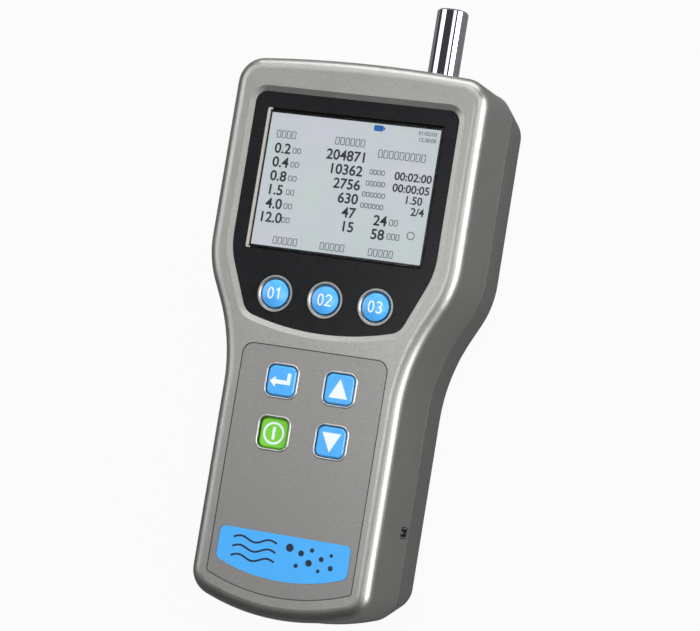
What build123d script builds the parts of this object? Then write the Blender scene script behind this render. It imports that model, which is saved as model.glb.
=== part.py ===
from build123d import *
import math
import os

# Hand-held airborne particle counter, in millimetres, lying on its back.
# X runs to the right, Y along the body towards the inlet probe, Z up out of the face.
# The origin is on the resting surface, under the middle of the whole length.

# ---- Body ----
body_length = 219.0
body_depth = 58.0
grip_width = 75.2
shoulder_height = 135.0      # bottom end to the corner where the head narrows
waist_length = 30.6          # along the body, from the shoulder corner to the neck corner
shoulder_share = 0.271       # of the slanted side, taken up by the shoulder's round
neck_share = 0.508           # of the slanted side, taken up by the neck's round
top_arc_radius = 540.0
bottom_arc_radius = 88.0
body_corner_radius = 11.0
parting_depth = 35.0         # face to the joint between the case halves
joint_step = 0.25            # front case stands in from the rear case at the parting line
front_draft = 0.2            # each side, from the parting line to the face
rear_draft_sides = 1.0       # each side, from the parting line to the back
rear_draft_ends = 4.8        # each end, from the parting line to the back
front_edge_radius = 5.0
rear_edge_radius = 4.0
wall = 2.6
face_wall = 2.5
rear_wall = 2.4
probe_reach = 27.5           # inlet probe beyond the top of the body

# ---- Case joint ----
lip_width = 1.2
lip_height = 1.6
lip_clearance = 0.15
screw_radius = 1.45
screw_head_radius = 2.8
screw_head_height = 2.2
screw_seat_depth = 8.0       # back of the case to the seat under a screw head
screw_bite = 9.0             # screw in the front case
thread_clearance = 0.05
hole_clearance = 0.3
front_boss_radius = 3.6
rear_boss_radius = 4.6
head_screw_inset = 9.0       # side of the head to the screws
head_screw_heights = (206.5, 149.5)
grip_screw_inset = 10.6      # side of the grip to the screws
grip_screw_height = 19.0

# ---- Display and its black panel ----
display_height = 169.2       # bottom end to the display's centre
display_width = 70.1
display_side = 17.45         # display to the side of the head
display_tall = 52.6
panel_side = 7.05            # display to the panel's side
panel_top = 34.1             # above the display's centre
panel_side_corner = 29.0     # below the display's centre
panel_low_corner_x = 32.0
panel_low_corner = 52.9
panel_bottom = 57.8
panel_corner_radius = 4.5
panel_side_radius = 30.0
panel_low_radius = 7.0
panel_drop = 0.9             # face to the panel's glossy front
panel_thickness = 1.5
panel_clearance = 0.1
bevel_width = 2.3
ledge_thickness = 1.6
window_border = 1.6          # panel window beyond the display, each side
window_corner_radius = 0.8
pane_thickness = 1.0
pane_clearance = 0.1
lcd_border = 3.9             # module beyond the display, each side
lcd_depth = 4.2
lcd_flange = 0.6
lcd_flange_border = 1.0
lcd_metal = 0.5
glass_thickness = 1.8
lcd_clearance = 0.3
carrier_thickness = 1.4
carrier_leg_radius = 2.4

# ---- Keys ----
key_travel = 0.8
key_rest_gap = 0.25          # key stem to switch when the key is fully down
key_flange = 1.2
key_clearance = 0.35
stem_radius = 2.0
round_key_pitch = 20.8
round_key_drop = 44.6        # below the display's centre
round_key_radius = 5.4
round_key_edge = 0.6         # face down to the rim of a round key
round_key_crown = 0.8
collar_radius = 7.15
collar_top = 0.35            # face down to the collar's top
collar_chamfer = 0.8
flange_overlap = 1.5
square_key_side = 11.6
square_key_corner = 2.5
square_key_x = 11.95
upper_key_drop = 13.4        # keypad's top edge to the upper keys
square_key_pitch = 20.4
square_key_rise = 0.3        # arrow and enter keys above the face
power_key_drop = 0.8         # power key below the face
square_key_edge = 0.6

# ---- Keypad sheet and label ----
keypad_half_width = 30.1
keypad_top_height = 104.7
keypad_margin = 8.8          # bottom end of the body to the keypad sheet
keypad_corner_radius = 4.5
keypad_low_radius = 1.2
sheet_thickness = 0.3
sheet_recess = 0.4
sheet_gap = 0.2
label_half_width = 27.2
label_top_height = 33.2
label_margin = 15.1
label_corner_radius = 2.4
label_thickness = 0.35

# ---- Boards ----
board_thickness = 1.6
board_gap = 3.8              # display module's back to the main board
board_inset = 1.6            # case wall to the main board
board_bottom_height = 61.0
switch_side = 6.0
switch_height = 3.1
switch_button_height = 0.7
switch_button_radius = 1.7
board_post_radius = 3.0
board_post_gap = 1.3         # display module to the two posts above it
board_post_x = 18.0
neck_post_height = 108.0
neck_post_inset = 6.4        # side of the grip to the posts
board_screw_radius = 1.15
board_screw_head_radius = 2.2
board_screw_head_height = 1.4
board_screw_bite = 5.0
chip_height = 1.4
chip_side = 11.0
long_chip_lift = 7.0         # long chip above the upper keys
chip_spots = ((-18.0, 14.0), (-18.0, -8.0), (0.0, 24.0))   # from the display's centre
buzzer_radius = 6.0
buzzer_height = 6.5
buzzer_inset = 19.5          # side of the head to the buzzer
buzzer_rise = 34.0           # above the display's centre
sensor_side = 7.0
sensor_height = 2.2
io_board_inset = 4.6         # side of the grip to the board
io_board_low = 25.0
io_post_x = 18.0
io_post_height = 29.5
io_board_high = 57.0
socket_height = 40.9
socket_width = 4.0
socket_tall = 8.0
socket_length = 9.2
socket_wall = 0.4
socket_sink = 0.35
socket_tongue = 1.0
socket_clearance = 0.3

# ---- Air path ----
probe_inset = 27.5           # side of the head to the probe
probe_depth = 24.0
probe_radius = 6.2
probe_bore = 4.2
probe_chamfer = 0.7
probe_inside = 9.0           # probe's thread inside the case
probe_clearance = 0.08
probe_shank_radius = 5.4     # thread through the wall
probe_relief_radius = 5.9    # undercut at the foot
probe_relief = 0.3           # undercut above the case
probe_seat_depth = 1.3       # spot face for the foot
probe_pad = 1.6              # flat seat inside the top wall
probe_pad_radius = 9.4
nut_across = 16.0
nut_thickness = 3.0
washer_thickness = 1.0
washer_radius = 8.6
spigot_radius = 2.6
spigot_bore = 1.5
spigot_length = 4.0
hose_wall = 1.2
hose_clearance = 0.06
chamber_width = 34.0
chamber_length = 28.0
chamber_tall = 18.0
chamber_height = 172.0       # bottom end to the chamber's centre
chamber_lid = 2.0
chamber_hollow = 6.5
chamber_floor = 3.0
detector_radius = 4.0
detector_depth = 5.0
detector_board_side = 15.0
detector_board_thickness = 1.2
laser_radius = 5.0
laser_length = 18.0
laser_depth = 7.0
trap_radius = 4.0
trap_length = 8.0
trap_depth = 4.0
chamber_post_margin = 4.0
post_radius = 3.2
pump_inset = 28.5            # side of the head to the pump
pump_height = 155.0
pump_depth = 34.0
pump_motor_radius = 11.0
pump_motor_length = 26.0
pump_head_width = 26.0
pump_head_length = 20.0
pump_cover = 4.0
pump_port_drop = 13.0        # motor joint to the two ports
cradle_width = 20.0
cradle_length = 16.0
cradle_saddle = 2.0          # cradle top below the motor axis
cradle_clearance = 0.1
filter_radius = 8.0
filter_length = 34.0
filter_height = 176.0
filter_depth = 44.0
filter_gap = 1.8             # optical chamber's posts to the filter
filter_cap = 3.0
filter_rib_width = 14.0
filter_rib_thickness = 2.0
filter_rib_saddle = 3.0
hose_bend = 6.0

# ---- Battery ----
cell_radius = 9.2
pack_length = 68.0
bay_low = 42.0
bay_clearance = 0.6
bay_wall = 1.6
contact_length = 2.4
contact_thickness = 0.4
contact_width = 6.0
contact_tall = 12.0
cover_margin = 4.0
cover_thickness = 2.0
cover_gap = 0.2
cover_ledge = 1.2
cover_screw_margin = 4.6
cover_corner_radius = 3.0
cover_screw_head = 1.2
grip_groove_count = 6
grip_groove_pitch = 3.2
grip_groove_width = 1.2
grip_groove_length = 26.0
grip_groove_depth = 0.5

# ---- Back ----
insert_radius = 4.9
insert_bore = 2.55
insert_length = 8.0
insert_height = 129.0
insert_wall = 2.0
vent_count = 5
vent_width = 2.0
vent_length = 9.0
vent_pitch = 5.0
vent_height = 202.0

# ---- Levels and places that follow from the sizes ----
head_width = display_width + 2 * display_side
waist_run = math.hypot((head_width - grip_width) / 2, waist_length)
waist_lean = math.atan2((head_width - grip_width) / 2, waist_length)
shoulder_radius = shoulder_share * waist_run / math.tan(waist_lean / 2)
neck_radius = neck_share * waist_run / math.tan(waist_lean / 2)
bottom_y = -(body_length + probe_reach) / 2
top_y = bottom_y + body_length
face_z = body_depth
parting_z = body_depth - parting_depth
display_y = bottom_y + display_height
panel_z = face_z - panel_drop
ledge_z = panel_z - panel_thickness
ledge_under_z = ledge_z - ledge_thickness
face_under_z = face_z - face_wall
lcd_back_z = ledge_z - lcd_depth
board_top_z = lcd_back_z - board_gap
board_under_z = board_top_z - board_thickness
switch_top_z = board_top_z + switch_height
stem_low_z = switch_top_z + key_rest_gap + key_travel
round_key_y = display_y - round_key_drop
upper_key_y = bottom_y + keypad_top_height - upper_key_drop
lower_key_y = upper_key_y - square_key_pitch
window_width = display_width + 2 * window_border
window_tall = display_tall + 2 * window_border
lcd_width = display_width + 2 * lcd_border
lcd_tall = display_tall + 2 * lcd_border
panel_half_width = display_width / 2 + panel_side
probe_x = head_width / 2 - probe_inset
probe_z = face_z - probe_depth
chamber_y = bottom_y + chamber_height
chamber_top_y = chamber_y + chamber_length / 2
chamber_low_y = chamber_y - chamber_length / 2
chamber_base_z = probe_z - chamber_tall / 2
pump_x = pump_inset - head_width / 2
pump_y = bottom_y + pump_height
pump_z = face_z - pump_depth
filter_x = probe_x - chamber_width / 2 + chamber_post_margin - post_radius - filter_gap - filter_radius
filter_y = bottom_y + filter_height
filter_z = face_z - filter_depth
hose_radius = spigot_radius + hose_clearance + hose_wall
insert_y = bottom_y + insert_height
bay_low_y = bottom_y + bay_low
bay_width = 4 * cell_radius + 2 * bay_clearance
bay_length = pack_length + contact_length + bay_clearance
bay_y = bay_low_y + bay_length / 2
bay_top_z = cover_thickness + 2 * cell_radius + bay_clearance
bay_roof_z = bay_top_z + bay_wall
cover_width = bay_width + 4 * cover_margin
cover_low_y = bay_low_y - 2 * cover_screw_margin
cover_top_y = bay_low_y + bay_length + cover_margin
cover_y = (cover_low_y + cover_top_y) / 2
cover_length = cover_top_y - cover_low_y
cover_screw_y = cover_low_y + cover_screw_margin
io_board_y = bottom_y + (io_board_low + io_board_high) / 2
io_board_length = io_board_high - io_board_low
io_board_z = bay_roof_z
io_board_top_z = io_board_z + board_thickness
socket_y = bottom_y + socket_height
socket_z = io_board_top_z + socket_tall / 2
probe_tip_y = top_y + probe_reach
probe_seat_y = top_y - wall - probe_pad
probe_inner_y = top_y - wall - probe_inside
filter_low_y = filter_y - filter_length / 2
filter_high_y = filter_y + filter_length / 2
trap_inner_x = probe_x + chamber_width / 2 - trap_depth
port_y = pump_y - pump_port_drop
pump_side_x = pump_x + pump_head_width / 2
pack_y = bay_low_y + contact_length + pack_length / 2
pack_z = cover_thickness + cell_radius
square_flange_side = square_key_side + 2 * key_clearance + 2 * flange_overlap
round_flange_radius = round_key_radius + key_clearance + flange_overlap
chamber_post_x = chamber_width / 2 - chamber_post_margin
chamber_post_y = chamber_length / 2 - chamber_post_margin
chamber_post_spots = [
    (probe_x + side * chamber_post_x, chamber_y + end * chamber_post_y)
    for end in (-1, 1) for side in (-1, 1)
]
board_post_y = display_y + lcd_tall / 2 + board_post_gap + board_post_radius
board_post_spots = [(side * board_post_x, board_post_y) for side in (-1, 1)]
neck_post_x = grip_width / 2 - neck_post_inset
board_post_spots += [(side * neck_post_x, bottom_y + neck_post_height) for side in (-1, 1)]
board_post_spots += [(0, (upper_key_y + lower_key_y) / 2)]
io_post_spots = [(side * io_post_x, bottom_y + io_post_height) for side in (-1, 1)]
head_screw_x = head_width / 2 - head_screw_inset
grip_screw_x = grip_width / 2 - grip_screw_inset
case_screw_spots = [
    (side * head_screw_x, bottom_y + height)
    for height in head_screw_heights for side in (-1, 1)
]
case_screw_spots += [(side * grip_screw_x, bottom_y + grip_screw_height) for side in (-1, 1)]
round_key_spots = [(step * round_key_pitch, round_key_y) for step in (-1, 0, 1)]
square_key_spots = [(side * square_key_x, y) for y in (upper_key_y, lower_key_y) for side in (-1, 1)]

os.makedirs("parts", exist_ok=True)


def finish(part, label):
    """Label a finished piece and write it as a STEP file."""
    part.label = label
    export_step(part, f"parts/{label}.step")


def arc_y(x, crest_y, radius):
    """Height at x of an arc that bulges towards the side its radius points to."""
    return crest_y - radius + math.copysign(math.sqrt(radius**2 - x**2), radius)


def round_corners(section, rounds):
    """Fillet the corners of a sketch at each (height, radius)."""
    for height, radius in rounds:
        corners = [point for point in section.vertices() if abs(point.Y - height) < 0.02]
        fillet(corners, radius)


def case_section(level, inset=0.0, end_inset=None):
    """The body's outline at a level, drawn in by an inset, and by another at its two ends."""
    ends = inset if end_inset is None else end_inset
    head = head_width / 2 - inset
    grip = grip_width / 2 - inset
    shoulder_y = bottom_y + shoulder_height + inset * math.tan(waist_lean / 2)
    neck_y = shoulder_y - waist_length
    crest_y = top_y - ends
    low_y = bottom_y + ends
    high_corner_y = arc_y(head, crest_y, top_arc_radius - ends)
    low_corner_y = arc_y(grip, low_y, ends - bottom_arc_radius)
    corner_radius = body_corner_radius - min(inset, ends)
    with BuildSketch(Plane.XY.offset(level)) as section:
        with BuildLine():
            ThreePointArc((-head, high_corner_y), (0, crest_y), (head, high_corner_y))
            Polyline((head, high_corner_y), (head, shoulder_y), (grip, neck_y), (grip, low_corner_y))
            ThreePointArc((grip, low_corner_y), (0, low_y), (-grip, low_corner_y))
            Polyline((-grip, low_corner_y), (-grip, neck_y), (-head, shoulder_y), (-head, high_corner_y))
        make_face()
        round_corners(section, [
            (high_corner_y, corner_radius),
            (shoulder_y, shoulder_radius - inset),
            (neck_y, neck_radius + inset),
            (low_corner_y, corner_radius),
        ])
    return section.sketch


def case_ring(level, outer_inset, inner_inset):
    """A band along the case wall between two insets."""
    with BuildSketch(Plane.XY.offset(level)) as ring:
        add(case_section(level, outer_inset))
        add(case_section(level, inner_inset), mode=Mode.SUBTRACT)
    return ring.sketch


def panel_section(level, grow=0.0):
    """The black panel's outline at a level, grown outwards."""
    low_radius = (panel_low_corner_x**2 + (panel_bottom - panel_low_corner)**2) / (
        2 * (panel_bottom - panel_low_corner))
    half = panel_half_width
    with BuildSketch(Plane.XY.offset(level)) as section:
        with BuildLine(Plane.XY.offset(level)):
            Polyline(
                (-panel_low_corner_x, display_y - panel_low_corner),
                (-half, display_y - panel_side_corner),
                (-half, display_y + panel_top),
                (half, display_y + panel_top),
                (half, display_y - panel_side_corner),
                (panel_low_corner_x, display_y - panel_low_corner),
            )
            RadiusArc(
                (panel_low_corner_x, display_y - panel_low_corner),
                (-panel_low_corner_x, display_y - panel_low_corner),
                low_radius,
            )
        make_face()
        round_corners(section, [
            (display_y + panel_top, panel_corner_radius),
            (display_y - panel_side_corner, panel_side_radius),
            (display_y - panel_low_corner, panel_low_radius),
        ])
        if grow:
            offset(amount=grow)
    return section.sketch


def keypad_section(level, half_width, top_height, margin, high_radius, low_radius, shrink=0.0):
    """A sheet's outline with a bottom edge concentric with the body's bottom end."""
    half = half_width - shrink
    top = bottom_y + top_height - shrink
    low = bottom_y + margin + shrink
    corner_y = arc_y(half, low, margin + shrink - bottom_arc_radius)
    with BuildSketch(Plane.XY.offset(level)) as section:
        with BuildLine():
            Polyline((-half, corner_y), (-half, top), (half, top), (half, corner_y))
            ThreePointArc((half, corner_y), (0, low), (-half, corner_y))
        make_face()
        round_corners(section, [(top, high_radius), (corner_y, low_radius)])
    return section.sketch



# ---- Front case ----
# A drafted shell with a rounded face, the bevelled screen recess, key windows, the sunk keypad
# field and six bosses. It stands in a little at the joint, where the rear case's rim shows.
with BuildPart() as front_case:
    add(case_section(parting_z, joint_step))
    add(case_section(face_z, joint_step + front_draft))
    loft(ruled=True)
    fillet(front_case.faces().sort_by(Axis.Z)[-1].edges(), front_edge_radius)
    add(case_section(parting_z, wall))
    add(case_section(face_under_z, wall + joint_step + front_draft))
    loft(ruled=True, mode=Mode.SUBTRACT)
    add(panel_section(ledge_under_z, 2 * panel_clearance + face_wall))
    extrude(amount=face_under_z - ledge_under_z)
    add(panel_section(ledge_z, panel_clearance))
    extrude(amount=face_z - ledge_z, mode=Mode.SUBTRACT)
    add(panel_section(panel_z, panel_clearance))
    add(panel_section(face_z, bevel_width))
    loft(ruled=True, mode=Mode.SUBTRACT)
    with BuildSketch(Plane.XY.offset(ledge_under_z)):
        with Locations((0, display_y)):
            Rectangle(lcd_width + 2 * lcd_clearance, lcd_tall + 2 * lcd_clearance)
    extrude(amount=ledge_thickness, mode=Mode.SUBTRACT)
    with BuildSketch(Plane.XY.offset(ledge_z)):
        with Locations(*round_key_spots):
            Circle(collar_radius)
    extrude(amount=face_z - collar_top - ledge_z)
    with BuildSketch(Plane.XY.offset(ledge_under_z)):
        with Locations(*round_key_spots):
            Circle(round_key_radius + key_clearance)
    extrude(amount=body_depth, mode=Mode.SUBTRACT)
    collar_mouths = front_case.edges().filter_by(GeomType.CIRCLE).filter_by(
        lambda edge: abs(edge.radius - round_key_radius - key_clearance) < 0.01
        and abs(edge.center().Z - face_z + collar_top) < 0.01)
    chamfer(collar_mouths, collar_chamfer)
    add(keypad_section(face_z - sheet_recess, keypad_half_width, keypad_top_height, keypad_margin,
                       keypad_corner_radius, keypad_low_radius))
    extrude(amount=front_edge_radius, mode=Mode.SUBTRACT)
    with BuildSketch(Plane.XY.offset(face_under_z)):
        with Locations(*square_key_spots):
            RectangleRounded(square_key_side + 2 * key_clearance, square_key_side + 2 * key_clearance,
                             square_key_corner + key_clearance)
    extrude(amount=body_depth, mode=Mode.SUBTRACT)
    with BuildSketch(Plane.XY.offset(parting_z)):
        with Locations(*case_screw_spots):
            Circle(front_boss_radius)
    extrude(amount=face_under_z - parting_z)
    with BuildSketch(Plane.XY.offset(parting_z)):
        with Locations(*case_screw_spots):
            Circle(screw_radius + thread_clearance)
    extrude(amount=screw_bite + screw_radius, mode=Mode.SUBTRACT)
    with BuildSketch(Plane.XY.offset(board_top_z)):
        with Locations(*board_post_spots):
            Circle(board_post_radius)
    extrude(amount=face_under_z - board_top_z)
    with BuildSketch(Plane.XY.offset(board_top_z)):
        with Locations(*board_post_spots):
            Circle(board_screw_radius + thread_clearance)
    extrude(amount=board_screw_bite, mode=Mode.SUBTRACT)
    add(case_ring(parting_z, wall - lip_width - lip_clearance, wall))
    extrude(amount=lip_height + lip_clearance, mode=Mode.SUBTRACT)
    with BuildSketch(Plane.XZ.offset(-probe_seat_y)):
        with Locations((probe_x, probe_z)):
            Circle(probe_pad_radius)
    extrude(amount=-probe_pad - wall / 2)
    with BuildSketch(Plane.XZ.offset(-top_y)):
        with Locations((probe_x, probe_z)):
            Circle(probe_shank_radius + probe_clearance)
    extrude(amount=4 * wall, mode=Mode.SUBTRACT)
    with BuildSketch(Plane.XZ.offset(-top_y)):
        with Locations((probe_x, probe_z)):
            Circle(probe_relief_radius + probe_clearance)
    extrude(amount=probe_seat_depth, mode=Mode.SUBTRACT)
    with BuildSketch(Plane.YZ.offset(grip_width / 2 - 2 * wall)):
        with Locations((socket_y, socket_z)):
            RectangleRounded(socket_width + 2 * socket_clearance, socket_tall + 2 * socket_clearance,
                             2 * socket_clearance)
    extrude(amount=4 * wall, mode=Mode.SUBTRACT)
finish(front_case.part, "front_case")

# ---- Rear case ----
# A shell that draws in towards the back, with a lip, six screw towers, the battery bay,
# posts and filter saddles.
with BuildPart() as rear_case:
    add(case_section(parting_z))
    add(case_section(0, rear_draft_sides, rear_draft_ends))
    loft(ruled=True)
    fillet(rear_case.faces().sort_by(Axis.Z)[0].edges(), rear_edge_radius)
    add(case_section(parting_z, wall))
    add(case_section(rear_wall, wall + rear_draft_sides, wall + rear_draft_ends))
    loft(ruled=True, mode=Mode.SUBTRACT)
    add(case_ring(parting_z - wall, wall - lip_width, wall))
    extrude(amount=wall + lip_height)
    with BuildSketch(Plane.YZ.offset(grip_width / 2 - 2 * wall)):
        with Locations((socket_y, socket_z)):
            RectangleRounded(socket_width + 2 * socket_clearance, socket_tall + 2 * socket_clearance,
                             2 * socket_clearance)
    extrude(amount=4 * wall, mode=Mode.SUBTRACT)
    with BuildSketch(Plane.XY.offset(rear_wall)):
        with Locations(*case_screw_spots):
            Circle(rear_boss_radius)
    extrude(amount=parting_z - rear_wall)
    with BuildSketch(Plane.XY.offset(rear_wall)):
        with Locations(*chamber_post_spots):
            Circle(post_radius)
    extrude(amount=chamber_base_z - rear_wall)
    with BuildSketch(Plane.XY.offset(rear_wall)):
        with Locations(*io_post_spots):
            Circle(post_radius)
    extrude(amount=io_board_z - rear_wall)
    with BuildSketch(Plane.XY.offset(rear_wall / 2)):
        with Locations((0, insert_y)):
            Circle(insert_radius + insert_wall)
    extrude(amount=insert_length + insert_wall - rear_wall / 2)
    with BuildSketch(Plane.XY.offset(rear_wall / 2)):
        with Locations((0, cover_y)):
            Rectangle(cover_width + 2 * wall, cover_length + 2 * wall)
    extrude(amount=cover_thickness + cover_ledge - rear_wall / 2)
    with BuildSketch(Plane.XY.offset(rear_wall / 2)):
        with Locations((0, bay_y)):
            Rectangle(bay_width + 2 * bay_wall, bay_length + 2 * bay_wall)
    extrude(amount=bay_roof_z - rear_wall / 2)
    with BuildSketch(Plane.XY.offset(rear_wall / 2)):
        with Locations((0, cover_screw_y)):
            Circle(front_boss_radius)
    extrude(amount=cover_thickness + screw_bite)
    with BuildSketch(Plane.XY):
        with Locations((0, cover_y)):
            RectangleRounded(cover_width + 2 * cover_gap, cover_length + 2 * cover_gap, cover_corner_radius)
    extrude(amount=cover_thickness, mode=Mode.SUBTRACT)
    with BuildSketch(Plane.XY):
        with Locations((0, bay_y)):
            Rectangle(bay_width, bay_length)
    extrude(amount=bay_top_z, mode=Mode.SUBTRACT)
    with BuildSketch(Plane.XY):
        with Locations((0, cover_screw_y)):
            Circle(screw_radius + thread_clearance)
    extrude(amount=cover_thickness + screw_bite, mode=Mode.SUBTRACT)
    with BuildSketch(Plane.XY):
        with Locations(*case_screw_spots):
            Circle(screw_radius + hole_clearance)
    extrude(amount=parting_z + lip_height, mode=Mode.SUBTRACT)
    with BuildSketch(Plane.XY):
        with Locations(*case_screw_spots):
            Circle(screw_head_radius + hole_clearance)
    extrude(amount=screw_seat_depth, mode=Mode.SUBTRACT)
    with BuildSketch(Plane.XY.offset(chamber_base_z)):
        with Locations(*chamber_post_spots):
            Circle(board_screw_radius + thread_clearance)
    extrude(amount=-board_screw_bite, mode=Mode.SUBTRACT)
    with BuildSketch(Plane.XY.offset(io_board_z)):
        with Locations(*io_post_spots):
            Circle(board_screw_radius + thread_clearance)
    extrude(amount=-board_screw_bite, mode=Mode.SUBTRACT)
    with BuildSketch(Plane.XY):
        with Locations((0, insert_y)):
            Circle(insert_radius + thread_clearance)
    extrude(amount=insert_length, mode=Mode.SUBTRACT)
    with BuildSketch(Plane.XY):
        with Locations((0, bottom_y + vent_height)):
            with GridLocations(vent_pitch, 0, vent_count, 1):
                SlotOverall(vent_length, vent_width, rotation=90)
    extrude(amount=rear_wall, mode=Mode.SUBTRACT)
    with BuildSketch(Plane.XY.offset(rear_wall)):
        with Locations((filter_x, filter_y)):
            with GridLocations(0, filter_length / 2, 1, 2):
                Rectangle(filter_rib_width, filter_rib_thickness)
    extrude(amount=filter_z - filter_rib_saddle - rear_wall)
    with BuildSketch(Plane.XZ.offset(-filter_y - filter_length / 2)):
        with Locations((filter_x, filter_z)):
            Circle(filter_radius + cradle_clearance)
    extrude(amount=filter_length, mode=Mode.SUBTRACT)
finish(rear_case.part, "rear_case")

# ---- Battery cover, with a thumb grip of grooves ----
with BuildPart() as battery_cover:
    with BuildSketch(Plane.XY):
        with Locations((0, cover_y)):
            RectangleRounded(cover_width, cover_length, cover_corner_radius - cover_gap)
    extrude(amount=cover_thickness)
    with BuildSketch(Plane.XY):
        with Locations((0, cover_top_y - grip_groove_count * grip_groove_pitch)):
            with GridLocations(0, grip_groove_pitch, 1, grip_groove_count):
                SlotOverall(grip_groove_length, grip_groove_width)
    extrude(amount=grip_groove_depth, mode=Mode.SUBTRACT)
    with BuildSketch(Plane.XY):
        with Locations((0, cover_screw_y)):
            Circle(screw_radius + hole_clearance)
    extrude(amount=cover_thickness, mode=Mode.SUBTRACT)
    with BuildSketch(Plane.XY):
        with Locations((0, cover_screw_y)):
            Circle(screw_head_radius + hole_clearance)
    extrude(amount=cover_screw_head, mode=Mode.SUBTRACT)
finish(battery_cover.part, "battery_cover")

with BuildPart() as battery_cover_screw:
    with BuildSketch(Plane.XY):
        with Locations((0, cover_screw_y)):
            Circle(screw_head_radius)
    extrude(amount=cover_screw_head)
    with BuildSketch(Plane.XY.offset(cover_screw_head)):
        with Locations((0, cover_screw_y)):
            Circle(screw_radius)
    extrude(amount=screw_bite)
finish(battery_cover_screw.part, "battery_cover_screw")

# ---- Case screws, driven from the back into the front case ----
with BuildPart() as case_screws:
    with BuildSketch(Plane.XY.offset(screw_seat_depth - screw_head_height)):
        with Locations(*case_screw_spots):
            Circle(screw_head_radius)
    extrude(amount=screw_head_height)
    with BuildSketch(Plane.XY.offset(screw_seat_depth)):
        with Locations(*case_screw_spots):
            Circle(screw_radius)
    extrude(amount=parting_z + screw_bite - screw_seat_depth)
finish(case_screws.part, "case_screws")

# ---- Black screen panel and its clear window ----
with BuildPart() as screen_panel:
    add(panel_section(ledge_z))
    extrude(amount=panel_thickness)
    with BuildSketch(Plane.XY.offset(ledge_z)):
        with Locations((0, display_y)):
            RectangleRounded(window_width, window_tall, window_corner_radius)
        with Locations(*round_key_spots):
            Circle(collar_radius + panel_clearance)
    extrude(amount=panel_thickness, mode=Mode.SUBTRACT)
    with BuildSketch(Plane.XY.offset(ledge_z)):
        with Locations((0, display_y)):
            RectangleRounded(window_width + 2 * window_border, window_tall + 2 * window_border,
                             window_corner_radius)
    extrude(amount=pane_thickness, mode=Mode.SUBTRACT)
finish(screen_panel.part, "screen_panel")

with BuildPart() as display_window:
    with BuildSketch(Plane.XY.offset(ledge_z)):
        with Locations((0, display_y)):
            RectangleRounded(window_width + 2 * (window_border - pane_clearance),
                             window_tall + 2 * (window_border - pane_clearance),
                             window_corner_radius)
    extrude(amount=pane_thickness)
finish(display_window.part, "display_window")

# ---- Display module ----
with BuildPart() as lcd_frame:
    with BuildSketch(Plane.XY.offset(lcd_back_z)):
        with Locations((0, display_y)):
            Rectangle(lcd_width, lcd_tall)
    extrude(amount=lcd_depth)
    with BuildSketch(Plane.XY.offset(lcd_back_z)):
        with Locations((0, display_y)):
            Rectangle(lcd_width - 2 * lcd_metal, lcd_tall - 2 * lcd_metal)
    extrude(amount=lcd_depth - lcd_flange, mode=Mode.SUBTRACT)
    with BuildSketch(Plane.XY.offset(lcd_back_z)):
        with Locations((0, display_y)):
            Rectangle(display_width + 2 * lcd_flange_border, display_tall + 2 * lcd_flange_border)
    extrude(amount=lcd_depth, mode=Mode.SUBTRACT)
finish(lcd_frame.part, "lcd_frame")

glass_z = ledge_z - lcd_flange - glass_thickness
with BuildPart() as lcd_glass:
    with BuildSketch(Plane.XY.offset(glass_z)):
        with Locations((0, display_y)):
            Rectangle(lcd_width - 2 * lcd_metal - pane_clearance, lcd_tall - 2 * lcd_metal - pane_clearance)
    extrude(amount=glass_thickness)
finish(lcd_glass.part, "lcd_glass")

with BuildPart() as lcd_backlight:
    with BuildSketch(Plane.XY.offset(lcd_back_z)):
        with Locations((0, display_y)):
            Rectangle(lcd_width - 2 * lcd_metal - pane_clearance, lcd_tall - 2 * lcd_metal - pane_clearance)
    extrude(amount=glass_z - lcd_back_z)
finish(lcd_backlight.part, "lcd_backlight")

with BuildPart() as lcd_carrier:
    with BuildSketch(Plane.XY.offset(lcd_back_z - carrier_thickness)):
        with Locations((0, display_y)):
            Rectangle(lcd_width, lcd_tall)
            Rectangle(lcd_width - 6 * carrier_leg_radius, lcd_tall - 6 * carrier_leg_radius,
                      mode=Mode.SUBTRACT)
    extrude(amount=carrier_thickness)
    with BuildSketch(Plane.XY.offset(board_top_z)):
        with Locations((0, display_y)):
            with GridLocations(lcd_width - 3 * carrier_leg_radius, lcd_tall - 3 * carrier_leg_radius, 2, 2):
                Circle(carrier_leg_radius)
    extrude(amount=board_gap - carrier_thickness)
finish(lcd_carrier.part, "lcd_carrier")

# ---- Round function keys ----
for index, (key_x, key_y) in enumerate(round_key_spots, start=1):
    rim_z = face_z - round_key_edge
    with BuildPart() as round_key:
        with BuildSketch(Plane.XZ.offset(-key_y)):
            with BuildLine():
                Polyline(
                    (key_x, rim_z + round_key_crown),
                    (key_x, stem_low_z),
                    (key_x + stem_radius, stem_low_z),
                    (key_x + stem_radius, ledge_under_z - key_flange),
                    (key_x + round_flange_radius, ledge_under_z - key_flange),
                    (key_x + round_flange_radius, ledge_under_z),
                    (key_x + round_key_radius, ledge_under_z),
                    (key_x + round_key_radius, rim_z),
                )
                dome_radius = (round_key_radius**2 + round_key_crown**2) / (2 * round_key_crown)
                RadiusArc((key_x + round_key_radius, rim_z), (key_x, rim_z + round_key_crown), -dome_radius)
            make_face()
        revolve(axis=Axis((key_x, key_y, 0), (0, 0, 1)))
    finish(round_key.part, f"f{index}_key")

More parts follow.
